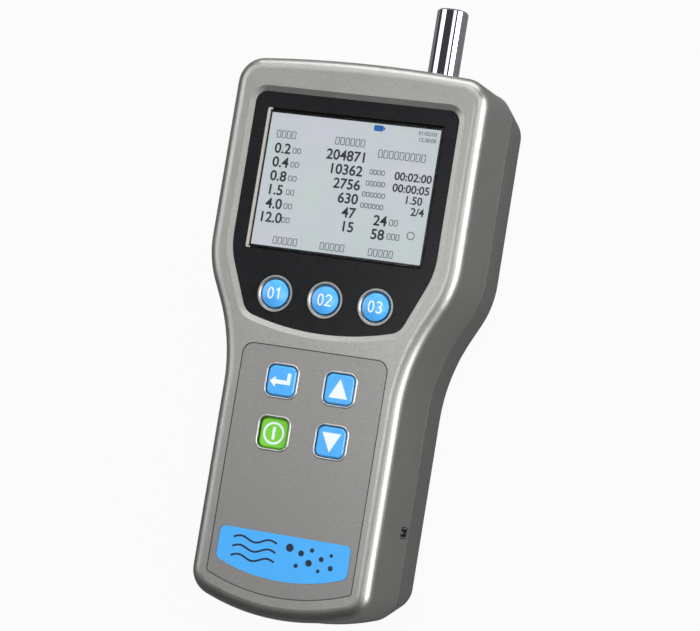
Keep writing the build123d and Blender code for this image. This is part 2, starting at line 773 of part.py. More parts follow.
# ---- Square keys; the power key sits deeper than the others ----
square_key_names = ["enter_key", "up_key", "power_key", "down_key"]
for name, (key_x, key_y) in zip(square_key_names, square_key_spots):
    crown_z = face_z - power_key_drop if name == "power_key" else face_z + square_key_rise
    with BuildPart() as square_key:
        with BuildSketch(Plane.XY.offset(face_under_z - key_flange)):
            with Locations((key_x, key_y)):
                RectangleRounded(square_flange_side, square_flange_side, square_key_corner)
        extrude(amount=key_flange)
        with BuildSketch(Plane.XY.offset(face_under_z)):
            with Locations((key_x, key_y)):
                RectangleRounded(square_key_side, square_key_side, square_key_corner)
        extrude(amount=crown_z - face_under_z)
        chamfer(square_key.faces().sort_by(Axis.Z)[-1].edges(), square_key_edge)
        with BuildSketch(Plane.XY.offset(face_under_z - key_flange)):
            with Locations((key_x, key_y)):
                Circle(stem_radius)
        extrude(amount=stem_low_z - face_under_z + key_flange)
    finish(square_key.part, name)

# ---- Keypad sheet and label, sunk in the face ----
with BuildPart() as keypad_overlay:
    add(keypad_section(face_z - sheet_recess, keypad_half_width, keypad_top_height, keypad_margin,
                       keypad_corner_radius, keypad_low_radius, sheet_gap))
    extrude(amount=sheet_thickness)
    with BuildSketch(Plane.XY.offset(face_z - sheet_recess)):
        with Locations(*square_key_spots):
            RectangleRounded(square_key_side + 2 * key_clearance, square_key_side + 2 * key_clearance,
                             square_key_corner + key_clearance)
    extrude(amount=sheet_thickness, mode=Mode.SUBTRACT)
    add(keypad_section(face_z - sheet_recess, label_half_width, label_top_height, label_margin,
                       label_corner_radius, label_corner_radius))
    extrude(amount=sheet_thickness, mode=Mode.SUBTRACT)
finish(keypad_overlay.part, "keypad_overlay")

with BuildPart() as name_label:
    add(keypad_section(face_z - sheet_recess, label_half_width, label_top_height, label_margin,
                       label_corner_radius, label_corner_radius, sheet_gap))
    extrude(amount=label_thickness)
finish(name_label.part, "name_label")

# ---- Main board and what it carries ----
board_cut_y = bottom_y + board_bottom_height
with BuildPart() as main_board:
    with BuildSketch(Plane.XY.offset(board_under_z)):
        add(case_section(board_under_z, wall + joint_step + front_draft + board_inset))
        with Locations((0, board_cut_y)):
            Rectangle(head_width, body_length, align=(Align.CENTER, Align.MAX), mode=Mode.SUBTRACT)
        with Locations(*case_screw_spots):
            Circle(front_boss_radius + hole_clearance, mode=Mode.SUBTRACT)
        with Locations(*board_post_spots):
            Circle(board_screw_radius + hole_clearance, mode=Mode.SUBTRACT)
    extrude(amount=board_thickness)
finish(main_board.part, "main_board")

with BuildPart() as key_switches:
    with BuildSketch(Plane.XY.offset(board_top_z)):
        with Locations(*round_key_spots, *square_key_spots):
            RectangleRounded(switch_side, switch_side, switch_button_radius / 4)
    extrude(amount=switch_height - switch_button_height)
    with BuildSketch(Plane.XY.offset(switch_top_z - switch_button_height)):
        with Locations(*round_key_spots, *square_key_spots):
            Circle(switch_button_radius)
    extrude(amount=switch_button_height)
finish(key_switches.part, "key_switches")

with BuildPart() as board_screws:
    with BuildSketch(Plane.XY.offset(board_under_z - board_screw_head_height)):
        with Locations(*board_post_spots):
            Circle(board_screw_head_radius)
    extrude(amount=board_screw_head_height)
    with BuildSketch(Plane.XY.offset(board_under_z)):
        with Locations(*board_post_spots):
            Circle(board_screw_radius)
    extrude(amount=board_thickness + board_screw_bite - hole_clearance)
finish(board_screws.part, "board_screws")

with BuildPart() as board_chips:
    with BuildSketch(Plane.XY.offset(board_under_z - chip_height)):
        with Locations(*[(x, display_y + y) for x, y in chip_spots]):
            Rectangle(chip_side, chip_side)
        with Locations((0, upper_key_y + long_chip_lift)):
            Rectangle(chip_side, 2 * chip_side)
    extrude(amount=chip_height)
finish(board_chips.part, "board_chips")

with BuildPart() as buzzer:
    with BuildSketch(Plane.XY.offset(board_under_z - buzzer_height)):
        with Locations((buzzer_inset - head_width / 2, display_y + buzzer_rise)):
            Circle(buzzer_radius)
            Circle(buzzer_radius / 6, mode=Mode.SUBTRACT)
    extrude(amount=buzzer_height)
finish(buzzer.part, "buzzer")

with BuildPart() as humidity_sensor:
    with BuildSketch(Plane.XY.offset(board_under_z - sensor_height)):
        with Locations((0, display_y + buzzer_rise)):
            RectangleRounded(sensor_side, sensor_side, sensor_side / 8)
            with GridLocations(sensor_side / 4, sensor_side / 4, 2, 2):
                Circle(sensor_side / 16, mode=Mode.SUBTRACT)
    extrude(amount=sensor_height)
finish(humidity_sensor.part, "humidity_sensor")

# ---- Input and output board at the foot of the grip, with the side socket ----
with BuildPart() as io_board:
    with BuildSketch(Plane.XY.offset(io_board_z)):
        with Locations((0, io_board_y)):
            Rectangle(grip_width - 2 * io_board_inset, io_board_length)
        with Locations(*io_post_spots):
            Circle(board_screw_radius + hole_clearance, mode=Mode.SUBTRACT)
    extrude(amount=board_thickness)
finish(io_board.part, "io_board")

with BuildPart() as io_board_screws:
    with BuildSketch(Plane.XY.offset(io_board_top_z)):
        with Locations(*io_post_spots):
            Circle(board_screw_head_radius)
    extrude(amount=board_screw_head_height)
    with BuildSketch(Plane.XY.offset(io_board_top_z)):
        with Locations(*io_post_spots):
            Circle(board_screw_radius)
    extrude(amount=hole_clearance - board_thickness - board_screw_bite)
finish(io_board_screws.part, "io_board_screws")

with BuildPart() as power_coil:
    with BuildSketch(Plane.XY.offset(io_board_top_z)):
        with Locations((0, io_board_y)):
            Rectangle(chip_side, chip_side)
    extrude(amount=4 * chip_height)
    fillet(power_coil.edges().filter_by(Axis.Z), chip_side / 5)
finish(power_coil.part, "power_coil")

socket_front_x = grip_width / 2 - socket_sink
with BuildPart() as usb_socket:
    with BuildSketch(Plane.YZ.offset(socket_front_x)):
        with Locations((socket_y, socket_z)):
            RectangleRounded(socket_width, socket_tall, socket_wall)
    extrude(amount=-socket_length)
    with BuildSketch(Plane.YZ.offset(socket_front_x)):
        with Locations((socket_y, socket_z)):
            Rectangle(socket_width - 2 * socket_wall, socket_tall - 2 * socket_wall)
    extrude(amount=2 * socket_wall - socket_length, mode=Mode.SUBTRACT)
    with BuildSketch(Plane.YZ.offset(socket_front_x - socket_length)):
        with Locations((socket_y, socket_z)):
            Rectangle(socket_tongue, socket_tall / 2)
    extrude(amount=socket_length - 2 * socket_wall)
finish(usb_socket.part, "usb_socket")

# ---- Inlet probe, its nut and washer ----
with BuildPart() as inlet_probe:
    with BuildSketch(Plane.XY.offset(probe_z)):
        with BuildLine():
            Polyline(
                (probe_x + probe_bore, probe_tip_y - probe_chamfer / 2),
                (probe_x + probe_bore + probe_chamfer / 2, probe_tip_y),
                (probe_x + probe_radius - probe_chamfer, probe_tip_y),
                (probe_x + probe_radius, probe_tip_y - probe_chamfer),
                (probe_x + probe_radius, top_y + probe_relief),
                (probe_x + probe_relief_radius, top_y + probe_relief),
                (probe_x + probe_relief_radius, top_y - probe_seat_depth),
                (probe_x + probe_shank_radius, top_y - probe_seat_depth),
                (probe_x + probe_shank_radius, probe_inner_y),
                (probe_x + spigot_radius, probe_inner_y),
                (probe_x + spigot_radius, probe_inner_y - spigot_length),
                (probe_x + spigot_bore, probe_inner_y - spigot_length),
                (probe_x + spigot_bore, probe_inner_y),
                (probe_x + probe_bore, probe_inner_y + probe_bore),
                close=True,
            )
        make_face()
    revolve(axis=Axis((probe_x, 0, probe_z), (0, 1, 0)))
finish(inlet_probe.part, "inlet_probe")

with BuildPart() as probe_washer:
    with BuildSketch(Plane.XZ.offset(-probe_seat_y)):
        with Locations((probe_x, probe_z)):
            Circle(washer_radius)
            Circle(probe_shank_radius + probe_clearance, mode=Mode.SUBTRACT)
    extrude(amount=washer_thickness)
finish(probe_washer.part, "probe_washer")

with BuildPart() as probe_nut:
    with BuildSketch(Plane.XZ.offset(washer_thickness - probe_seat_y)):
        with Locations((probe_x, probe_z)):
            RegularPolygon(nut_across / 2, 6, major_radius=False)
            Circle(probe_shank_radius + thread_clearance, mode=Mode.SUBTRACT)
    extrude(amount=nut_thickness)
finish(probe_nut.part, "probe_nut")

# ---- Optical chamber: air crosses a laser beam, and the scattered light reaches the detector ----
chamber_top_z = chamber_base_z + chamber_tall - chamber_lid
with BuildPart() as optics_chamber:
    with BuildSketch(Plane.XY.offset(chamber_base_z)):
        with Locations((probe_x, chamber_y)):
            Rectangle(chamber_width, chamber_length)
        with Locations(*chamber_post_spots):
            Circle(board_screw_radius + hole_clearance, mode=Mode.SUBTRACT)
    extrude(amount=chamber_top_z - chamber_base_z)
    with BuildSketch(Plane.XY.offset(chamber_base_z + chamber_floor)):
        with Locations((probe_x, chamber_y)):
            Circle(chamber_hollow)
    extrude(amount=chamber_tall, mode=Mode.SUBTRACT)
    with BuildSketch(Plane.XZ.offset(-chamber_top_y)):
        with Locations((probe_x, probe_z)):
            Circle(spigot_radius)
    extrude(amount=-spigot_length)
    with BuildSketch(Plane.XZ.offset(-chamber_low_y)):
        with Locations((probe_x, probe_z)):
            Circle(spigot_radius)
    extrude(amount=spigot_length)
    with BuildSketch(Plane.XZ.offset(-chamber_top_y - spigot_length)):
        with Locations((probe_x, probe_z)):
            Circle(spigot_bore)
    extrude(amount=chamber_length + 2 * spigot_length, mode=Mode.SUBTRACT)
    with BuildSketch(Plane.YZ.offset(probe_x - chamber_width / 2)):
        with Locations((chamber_y, probe_z)):
            Circle(laser_radius + thread_clearance)
    extrude(amount=laser_depth, mode=Mode.SUBTRACT)
    with BuildSketch(Plane.YZ.offset(probe_x + chamber_width / 2)):
        with Locations((chamber_y, probe_z)):
            Circle(trap_radius + thread_clearance)
    extrude(amount=-trap_depth, mode=Mode.SUBTRACT)
    with BuildSketch(Plane.YZ.offset(probe_x - chamber_width / 2)):
        with Locations((chamber_y, probe_z)):
            Circle(spigot_bore)
    extrude(amount=chamber_width, mode=Mode.SUBTRACT)
finish(optics_chamber.part, "optics_chamber")

with BuildPart() as optics_lid:
    with BuildSketch(Plane.XY.offset(chamber_top_z)):
        with Locations((probe_x, chamber_y)):
            Rectangle(chamber_width, chamber_length)
            Circle(detector_radius + thread_clearance, mode=Mode.SUBTRACT)
        with Locations(*chamber_post_spots):
            Circle(board_screw_radius + hole_clearance, mode=Mode.SUBTRACT)
    extrude(amount=chamber_lid)
finish(optics_lid.part, "optics_lid")

lid_top_z = chamber_top_z + chamber_lid
with BuildPart() as optics_screws:
    with BuildSketch(Plane.XY.offset(lid_top_z)):
        with Locations(*chamber_post_spots):
            Circle(board_screw_head_radius)
    extrude(amount=board_screw_head_height)
    with BuildSketch(Plane.XY.offset(lid_top_z)):
        with Locations(*chamber_post_spots):
            Circle(board_screw_radius)
    extrude(amount=hole_clearance - chamber_tall - board_screw_bite)
finish(optics_screws.part, "optics_screws")

with BuildPart() as laser_module:
    with BuildSketch(Plane.YZ.offset(probe_x - chamber_width / 2 + laser_depth)):
        with Locations((chamber_y, probe_z)):
            Circle(laser_radius)
            Circle(spigot_bore, mode=Mode.SUBTRACT)
    extrude(amount=-laser_length)
    with BuildSketch(Plane.YZ.offset(probe_x - chamber_width / 2 + laser_depth - laser_length / 2)):
        with Locations((chamber_y, probe_z)):
            Circle(laser_radius - pane_thickness)
    extrude(amount=-laser_length / 2)
finish(laser_module.part, "laser_module")

with BuildPart() as beam_trap:
    with BuildSketch(Plane.XY.offset(probe_z)):
        with BuildLine():
            Polyline(
                (trap_inner_x, chamber_y + trap_radius),
                (trap_inner_x + trap_length, chamber_y + trap_radius),
                (trap_inner_x + trap_length, chamber_y),
                (trap_inner_x + trap_length - pane_thickness, chamber_y),
                (trap_inner_x, chamber_y + trap_radius - pane_thickness),
                close=True,
            )
        make_face()
    revolve(axis=Axis((0, chamber_y, probe_z), (1, 0, 0)))
finish(beam_trap.part, "beam_trap")

with BuildPart() as photo_detector:
    with BuildSketch(Plane.XY.offset(lid_top_z)):
        with Locations((probe_x, chamber_y)):
            Circle(detector_radius)
    extrude(amount=-detector_depth)
finish(photo_detector.part, "photo_detector")

with BuildPart() as detector_board:
    with BuildSketch(Plane.XY.offset(lid_top_z)):
        with Locations((probe_x, chamber_y)):
            Rectangle(detector_board_side, detector_board_side)
    extrude(amount=detector_board_thickness)
finish(detector_board.part, "detector_board")

# ---- Pump: a motor and a diaphragm head on a rubber cradle ----
with BuildPart() as pump_head:
    with BuildSketch(Plane.XZ.offset(-pump_y)):
        with Locations((pump_x, pump_z)):
            RectangleRounded(pump_head_width, pump_head_width, pump_cover)
    extrude(amount=pump_head_length - pump_cover)
    with BuildSketch(Plane.YZ.offset(pump_side_x)):
        with Locations((port_y, probe_z), (port_y, filter_z)):
            Circle(spigot_radius)
    extrude(amount=spigot_length)
    with BuildSketch(Plane.YZ.offset(pump_side_x + spigot_length)):
        with Locations((port_y, probe_z), (port_y, filter_z)):
            Circle(spigot_bore)
    extrude(amount=-2 * spigot_length, mode=Mode.SUBTRACT)
finish(pump_head.part, "pump_head")

with BuildPart() as pump_head_cover:
    with BuildSketch(Plane.XZ.offset(pump_head_length - pump_cover - pump_y)):
        with Locations((pump_x, pump_z)):
            RectangleRounded(pump_head_width, pump_head_width, pump_cover)
    extrude(amount=pump_cover)
    with BuildSketch(Plane.XZ.offset(pump_head_length - pump_y)):
        with Locations((pump_x, pump_z)):
            with GridLocations(pump_head_width - 2 * pump_cover, pump_head_width - 2 * pump_cover, 2, 2):
                Circle(screw_radius)
    extrude(amount=-pump_cover / 2, mode=Mode.SUBTRACT)
finish(pump_head_cover.part, "pump_head_cover")

with BuildPart() as pump_motor:
    with BuildSketch(Plane.XZ.offset(-pump_y)):
        with Locations((pump_x, pump_z)):
            Circle(pump_motor_radius)
    extrude(amount=-pump_motor_length)
    chamfer(pump_motor.edges().sort_by(Axis.Y)[-1], probe_chamfer)
    with BuildSketch(Plane.XZ.offset(-pump_y - pump_motor_length)):
        with Locations((pump_x, pump_z)):
            Circle(pump_motor_radius / 3)
    extrude(amount=-probe_pad)
finish(pump_motor.part, "pump_motor")

with BuildPart() as pump_cradle:
    with BuildSketch(Plane.XY.offset(rear_wall)):
        with Locations((pump_x, pump_y + pump_motor_length / 2)):
            RectangleRounded(cradle_width, cradle_length, pump_cover / 2)
    extrude(amount=pump_z - cradle_saddle - rear_wall)
    with BuildSketch(Plane.XZ.offset(-pump_y)):
        with Locations((pump_x, pump_z)):
            Circle(pump_motor_radius + cradle_clearance)
    extrude(amount=-pump_motor_length, mode=Mode.SUBTRACT)
finish(pump_cradle.part, "pump_cradle")

with BuildPart() as exhaust_filter:
    with BuildSketch(Plane.YX.offset(-filter_z)):
        with BuildLine():
            Polyline(
                (filter_low_y - spigot_length, filter_x + spigot_bore),
                (filter_low_y - spigot_length, filter_x + spigot_radius),
                (filter_low_y, filter_x + spigot_radius),
                (filter_low_y, filter_x + filter_radius - filter_cap / 2),
                (filter_low_y + filter_cap, filter_x + filter_radius),
                (filter_high_y - filter_cap, filter_x + filter_radius),
                (filter_high_y, filter_x + filter_radius - filter_cap / 2),
                (filter_high_y, filter_x + spigot_radius),
                (filter_high_y + spigot_length, filter_x + spigot_radius),
                (filter_high_y + spigot_length, filter_x + spigot_bore),
                close=True,
            )
        make_face()
    revolve(axis=Axis((filter_x, 0, filter_z), (0, 1, 0)))
finish(exhaust_filter.part, "exhaust_filter")

# ---- Hoses of the air path ----
with BuildPart() as inlet_hose:
    with BuildSketch(Plane.XZ.offset(-probe_inner_y)):
        with Locations((probe_x, probe_z)):
            Circle(hose_radius)
            Circle(spigot_radius + hose_clearance, mode=Mode.SUBTRACT)
    extrude(amount=probe_inner_y - chamber_top_y)
finish(inlet_hose.part, "inlet_hose")

with BuildPart() as chamber_hose:
    with BuildLine(Plane.XY.offset(probe_z)) as chamber_hose_path:
        Polyline(
            (probe_x, chamber_low_y),
            (probe_x, port_y + hose_bend),
            (probe_x - hose_bend, port_y),
            (pump_side_x, port_y),
        )
    with BuildSketch(Plane.XZ.offset(-chamber_low_y)):
        with Locations((probe_x, probe_z)):
            Circle(hose_radius)
            Circle(spigot_radius + hose_clearance, mode=Mode.SUBTRACT)
    sweep(path=chamber_hose_path.line, transition=Transition.RIGHT)
finish(chamber_hose.part, "chamber_hose")

with BuildPart() as exhaust_hose:
    with BuildLine(Plane.XY.offset(filter_z)) as exhaust_hose_path:
        Polyline(
            (filter_x, filter_low_y),
            (filter_x, port_y + hose_bend),
            (filter_x - hose_bend, port_y),
            (pump_side_x, port_y),
        )
    with BuildSketch(Plane.XZ.offset(-filter_low_y)):
        with Locations((filter_x, filter_z)):
            Circle(hose_radius)
            Circle(spigot_radius + hose_clearance, mode=Mode.SUBTRACT)
    sweep(path=exhaust_hose_path.line, transition=Transition.RIGHT)
finish(exhaust_hose.part, "exhaust_hose")

# ---- Battery pack and its leaf contacts ----
with BuildPart() as battery_pack:
    with BuildSketch(Plane.XZ.offset(-pack_y - pack_length / 2)):
        with Locations((0, pack_z)):
            SlotCenterToCenter(2 * cell_radius, 2 * cell_radius)
    extrude(amount=pack_length)
finish(battery_pack.part, "battery_pack")

with BuildPart() as battery_contacts:
    for side in (-1, 1):
        with BuildSketch(Plane.YZ.offset(side * cell_radius - contact_width / 2)):
            with BuildLine():
                leaf_back = bay_low_y + contact_thickness
                leaf_tip = bay_low_y + contact_length - contact_thickness / 2
                Polyline(
                    (leaf_back, pack_z - contact_tall / 2),
                    (leaf_back, pack_z + contact_tall / 2),
                    (leaf_tip, pack_z),
                )
            trace(line_width=contact_thickness)
        extrude(amount=contact_width)
finish(battery_contacts.part, "battery_contacts")

# ---- Brass tripod insert in the back ----
with BuildPart() as tripod_insert:
    with BuildSketch(Plane.XY):
        with Locations((0, insert_y)):
            Circle(insert_radius)
            Circle(insert_bore, mode=Mode.SUBTRACT)
    extrude(amount=insert_length)
finish(tripod_insert.part, "tripod_insert")
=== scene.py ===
import logging
import math
from dataclasses import dataclass, field
from enum import Enum
from typing import ClassVar, NamedTuple

import bpy
import numpy as np
from mathutils import Matrix, Vector


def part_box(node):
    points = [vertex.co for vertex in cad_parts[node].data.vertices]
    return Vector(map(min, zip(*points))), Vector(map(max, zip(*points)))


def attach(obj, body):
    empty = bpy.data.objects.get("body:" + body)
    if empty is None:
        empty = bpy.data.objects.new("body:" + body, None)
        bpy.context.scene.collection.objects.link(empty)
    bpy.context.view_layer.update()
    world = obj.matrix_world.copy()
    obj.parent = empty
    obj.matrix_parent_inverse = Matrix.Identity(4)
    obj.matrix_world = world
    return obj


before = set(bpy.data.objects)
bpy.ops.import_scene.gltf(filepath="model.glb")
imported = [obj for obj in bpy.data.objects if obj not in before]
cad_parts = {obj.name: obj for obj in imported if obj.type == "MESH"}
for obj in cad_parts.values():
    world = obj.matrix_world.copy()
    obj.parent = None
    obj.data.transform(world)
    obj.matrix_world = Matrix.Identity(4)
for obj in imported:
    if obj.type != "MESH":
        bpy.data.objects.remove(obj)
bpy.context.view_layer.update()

# The particle counter lies on its back: X to the right, Y towards the inlet tube, Z out of the face.
# Lengths are in metres unless a name says otherwise.

MM = 0.001
LOG = logging.getLogger("particle_counter")

Colour = tuple[float, float, float]
Point = tuple[float, float]
Place = tuple[float, float, float]
MeshData = tuple[np.ndarray, list]

# The screen colour curve: straight up to its knee, a shifted power above it.
SRGB_KNEE = 0.04045
SRGB_SLOPE = 12.92
SRGB_SHIFT = 0.055
SRGB_POWER = 2.4

# Noise stays mostly between these values, so tones and gloss are spread between them.
NOISE_LOW = 0.25
NOISE_HIGH = 0.75
CLOUD_LOW = 0.3
CLOUD_HIGH = 0.7


def shade(code: str) -> Colour:
    """Turn a six-digit screen colour into linear light.

    Args:
        code: Hexadecimal red, green and blue, such as "4fb3ff".

    Returns:
        Linear red, green and blue.
    """
    parts = np.array([int(code[i:i + 2], 16) for i in (0, 2, 4)]) / 255
    curved = ((parts + SRGB_SHIFT) / (1 + SRGB_SHIFT)) ** SRGB_POWER
    linear = np.where(parts <= SRGB_KNEE, parts / SRGB_SLOPE, curved)
    return tuple(float(value) for value in linear)


# ---------------------------------------------------------------------------------------------
# Finishes
# ---------------------------------------------------------------------------------------------

class Graph:
    """A material's node tree with short ways to add and join nodes."""

    def __init__(self, name: str) -> None:
        """Make an empty node material.

        Args:
            name: The material's name.
        """
        self.material = bpy.data.materials.new(name)
        self.material.use_nodes = True
        self.nodes = self.material.node_tree.nodes
        self.links = self.material.node_tree.links
        self.nodes.clear()
        self.output = self.nodes.new("ShaderNodeOutputMaterial")

    def node(self, kind: str, **settings: object) -> bpy.types.Node:
        """Add a node and set its properties, then its sockets by name.

        Args:
            kind: The node's type without its "ShaderNode" start.
            settings: Properties of the node, or sockets with spaces written as underscores.

        Returns:
            The new node.
        """
        made = self.nodes.new("ShaderNode" + kind)
        for name, value in settings.items():
            if hasattr(made, name):
                setattr(made, name, value)
            else:
                made.inputs[name.replace("_", " ")].default_value = value
        return made

    def join(self, start: bpy.types.NodeSocket, end: bpy.types.NodeSocket) -> None:
        """Link one socket to another.

        Args:
            start: The socket that gives.
            end: The socket that takes.
        """
        self.links.new(start, end)

    def feed(self, value: object, socket: bpy.types.NodeSocket) -> None:
        """Link a socket's value to another socket, or write a fixed value there.

        Args:
            value: A socket, or a fixed number or colour.
            socket: The socket that takes it.
        """
        if isinstance(value, bpy.types.NodeSocket):
            self.join(value, socket)
        else:
            socket.default_value = value

    def reckon(self, operation: str, *values: object) -> bpy.types.NodeSocket:
        """Combine values by a Math node.

        Args:
            operation: The node's operation.
            values: Sockets or fixed numbers, in the node's order.

        Returns:
            The value socket.
        """
        made = self.node("Math", operation=operation)
        for value, socket in zip(values, made.inputs):
            self.feed(value, socket)
        return made.outputs[0]

    def place(self, scale: Colour = (1.0, 1.0, 1.0), turn: float = 0.0) -> bpy.types.NodeSocket:
        """Give Object coordinates, stretched and turned about Z.

        Args:
            scale: Factors along X, Y and Z.
            turn: Turn about Z in radians.

        Returns:
            The vector socket.
        """
        coordinates = self.node("TexCoord")
        mapping = self.node("Mapping")
        mapping.inputs["Scale"].default_value = scale
        mapping.inputs["Rotation"].default_value = (0.0, 0.0, turn)
        self.join(coordinates.outputs["Object"], mapping.inputs["Vector"])
        return mapping.outputs["Vector"]

    def noise(self, vector: bpy.types.NodeSocket, scale: float, detail: float = 2.0) -> bpy.types.NodeSocket:
        """Give a noise value from 0 to 1.

        Args:
            vector: Where the noise is read.
            scale: Cells per metre.
            detail: Octaves of finer noise.

        Returns:
            The value socket.
        """
        made = self.node("TexNoise", Scale=scale, Detail=detail)
        self.join(vector, made.inputs["Vector"])
        return made.outputs["Fac"]

    def ramp(self, value: bpy.types.NodeSocket, stops: list[tuple[float, Colour]]) -> bpy.types.NodeSocket:
        """Turn a value into a colour by a ramp.

        Args:
            value: The value from 0 to 1.
            stops: Places and colours, lowest first.

        Returns:
            The colour socket.
        """
        made = self.node("ValToRGB")
        elements = made.color_ramp.elements
        for _ in range(len(stops) - len(elements)):
            elements.new(0.5)
        for element, (place, colour) in zip(elements, stops):
            element.position = place
            element.color = (*colour, 1.0)
        self.join(value, made.inputs["Fac"])
        return made.outputs["Color"]

    def remap(self, value: bpy.types.NodeSocket, low: float, high: float) -> bpy.types.NodeSocket:
        """Stretch a value from the middle of noise, NOISE_LOW to NOISE_HIGH, to a range.

        Args:
            value: The noise value.
            low: What NOISE_LOW becomes.
            high: What NOISE_HIGH becomes.

        Returns:
            The value socket.
        """
        made = self.node("MapRange", From_Min=NOISE_LOW, From_Max=NOISE_HIGH, To_Min=low, To_Max=high)
        self.join(value, made.inputs["Value"])
        return made.outputs["Result"]

    def vary(self, value: bpy.types.NodeSocket, middle: float, spread: float) -> bpy.types.NodeSocket:
        """Turn noise into a value that strays by a spread to either side of its middle.

        Args:
            value: The noise value.
            middle: What the middle of the noise becomes.
            spread: How far the middle of the noise strays.

        Returns:
            The value socket.
        """
        return self.remap(value, middle - spread, middle + spread)

    def bump(self, height: bpy.types.NodeSocket, depth: float, strength: float = 1.0) -> bpy.types.NodeSocket:
        """Give a normal pushed by a height.

        Args:
            height: The height value.
            depth: What a height of 1 stands for, in metres.
            strength: Share of the push.

        Returns:
            The normal socket.
        """
        made = self.node("Bump", Strength=strength, Distance=depth)
        self.join(height, made.inputs["Height"])
        return made.outputs["Normal"]

    def close(self, shader: bpy.types.NodeSocket) -> bpy.types.Material:
        """Join a shader to the output.

        Args:
            shader: The shader's socket.

        Returns:
            The finished material.
        """
        self.join(shader, self.output.inputs["Surface"])
        return self.material

    def principled(self, inputs: dict[str, object]) -> bpy.types.Material:
        """Close the material with one Principled shader.

        Args:
            inputs: Sockets or fixed values by the names of the shader's inputs.

        Returns:
            The finished material.
        """
        shader = self.node("BsdfPrincipled")
        for name, value in inputs.items():
            self.feed(value, shader.inputs[name])
        return self.close(shader.outputs["BSDF"])


def tint(colour: Colour, factor: float) -> Colour:
    """Scale a colour's light.

    Args:
        colour: Linear red, green and blue.
        factor: What each is multiplied by.

    Returns:
        The new colour, nowhere above 1.
    """
    return tuple(min(1.0, value * factor) for value in colour)


@dataclass(frozen=True)
class MetallicPaint:
    """Silver paint: metal flakes under a satin lacquer, with a faint orange-peel skin."""

    name: str
    colour: Colour
    metallic: float = 0.92
    roughness: float = 0.40
    gloss_spread: float = 0.03
    gloss_scale: float = 60.0
    grain: float = 0.16
    flakes_per_metre: float = 3800.0
    flake_share: float = 0.6
    cloud_scale: float = 900.0
    glint_start: float = 0.75
    body_lift: float = 0.4
    glint_lift: float = 2.2
    peel_scale: float = 1400.0
    peel_depth: float = 0.01 * MM
    peel_strength: float = 0.5
    coat: float = 0.12
    coat_roughness: float = 0.25

    def build(self) -> bpy.types.Material:
        """Make the material: flake cells and fine noise vary the colour, broad noise the gloss."""
        graph = Graph(self.name)
        spot = graph.place()
        flakes = graph.node("TexVoronoi", Scale=self.flakes_per_metre)
        graph.join(spot, flakes.inputs["Vector"])
        cell = graph.node("SeparateColor")
        graph.join(flakes.outputs["Color"], cell.inputs["Color"])
        clouds = graph.reckon("MULTIPLY", graph.noise(spot, self.cloud_scale, 4.0), 1 - self.flake_share)
        sparkle = graph.reckon("MULTIPLY_ADD", cell.outputs["Red"], self.flake_share, clouds)
        peel = graph.noise(spot, self.peel_scale, 1.0)
        return graph.principled({
            "Base Color": graph.ramp(sparkle, [
                (0.0, tint(self.colour, 1 - self.grain)),
                (self.glint_start, tint(self.colour, 1 + self.body_lift * self.grain)),
                (1.0, tint(self.colour, 1 + self.glint_lift * self.grain)),
            ]),
            "Metallic": self.metallic,
            "Roughness": graph.vary(graph.noise(spot, self.gloss_scale), self.roughness, self.gloss_spread),
            "Normal": graph.bump(peel, self.peel_depth, self.peel_strength),
            "Coat Weight": self.coat,
            "Coat Roughness": self.coat_roughness,
        })


@dataclass(frozen=True)
class Moulded:
    """Moulded plastic or rubber: one colour with a slight cloud, a skin of given depth, and a gloss."""

    name: str
    colour: Colour
    roughness: float = 0.4
    gloss_share: float = 0.1
    gloss_scale: float = 220.0
    variety: float = 0.06
    cloud_scale: float = 140.0
    skin_scale: float = 900.0
    skin_depth: float = 0.01 * MM
    skin_strength: float = 0.4
    specular: float = 0.5
    coat: float = 0.0
    coat_roughness: float = 0.05
    glow: float = 0.0

    def build(self) -> bpy.types.Material:
        """Make the material: soft noise varies colour and gloss, fine noise raises the skin."""
        graph = Graph(self.name)
        spot = graph.place()
        colour = graph.ramp(graph.noise(spot, self.cloud_scale, 3.0), [
            (CLOUD_LOW, tint(self.colour, 1 - self.variety)),
            (CLOUD_HIGH, tint(self.colour, 1 + self.variety)),
        ])
        spread = self.gloss_share * self.roughness
        glowing = {"Emission Color": colour, "Emission Strength": self.glow} if self.glow else {}
        return graph.principled({
            "Base Color": colour,
            "Roughness": graph.vary(graph.noise(spot, self.gloss_scale), self.roughness, spread),
            "Normal": graph.bump(graph.noise(spot, self.skin_scale), self.skin_depth, self.skin_strength),
            "Specular IOR Level": self.specular,
            "Coat Weight": self.coat,
            "Coat Roughness": self.coat_roughness,
            **glowing,
        })


@dataclass(frozen=True)
class Metal:
    """Bare or plated metal, brushed along one direction or turned."""

    name: str
    colour: Colour
    roughness: float = 0.25
    gloss_share: float = 0.2
    grain_scale: float = 1500.0
    grain_stops: Point = (0.2, 0.8)
    grain_tones: Point = (0.94, 1.04)
    brush: Colour = (1.0, 1.0, 1.0)
    brush_depth: float = 0.004 * MM
    brush_strength: float = 0.3

    def build(self) -> bpy.types.Material:
        """Make the material: stretched noise varies tone and gloss and scratches the surface."""
        graph = Graph(self.name)
        grain = graph.noise(graph.place(self.brush), self.grain_scale)
        tones = [tint(self.colour, tone) for tone in self.grain_tones]
        return graph.principled({
            "Base Color": graph.ramp(grain, list(zip(self.grain_stops, tones))),
            "Metallic": 1.0,
            "Roughness": graph.vary(grain, self.roughness, self.gloss_share * self.roughness),
            "Normal": graph.bump(grain, self.brush_depth, self.brush_strength),
        })


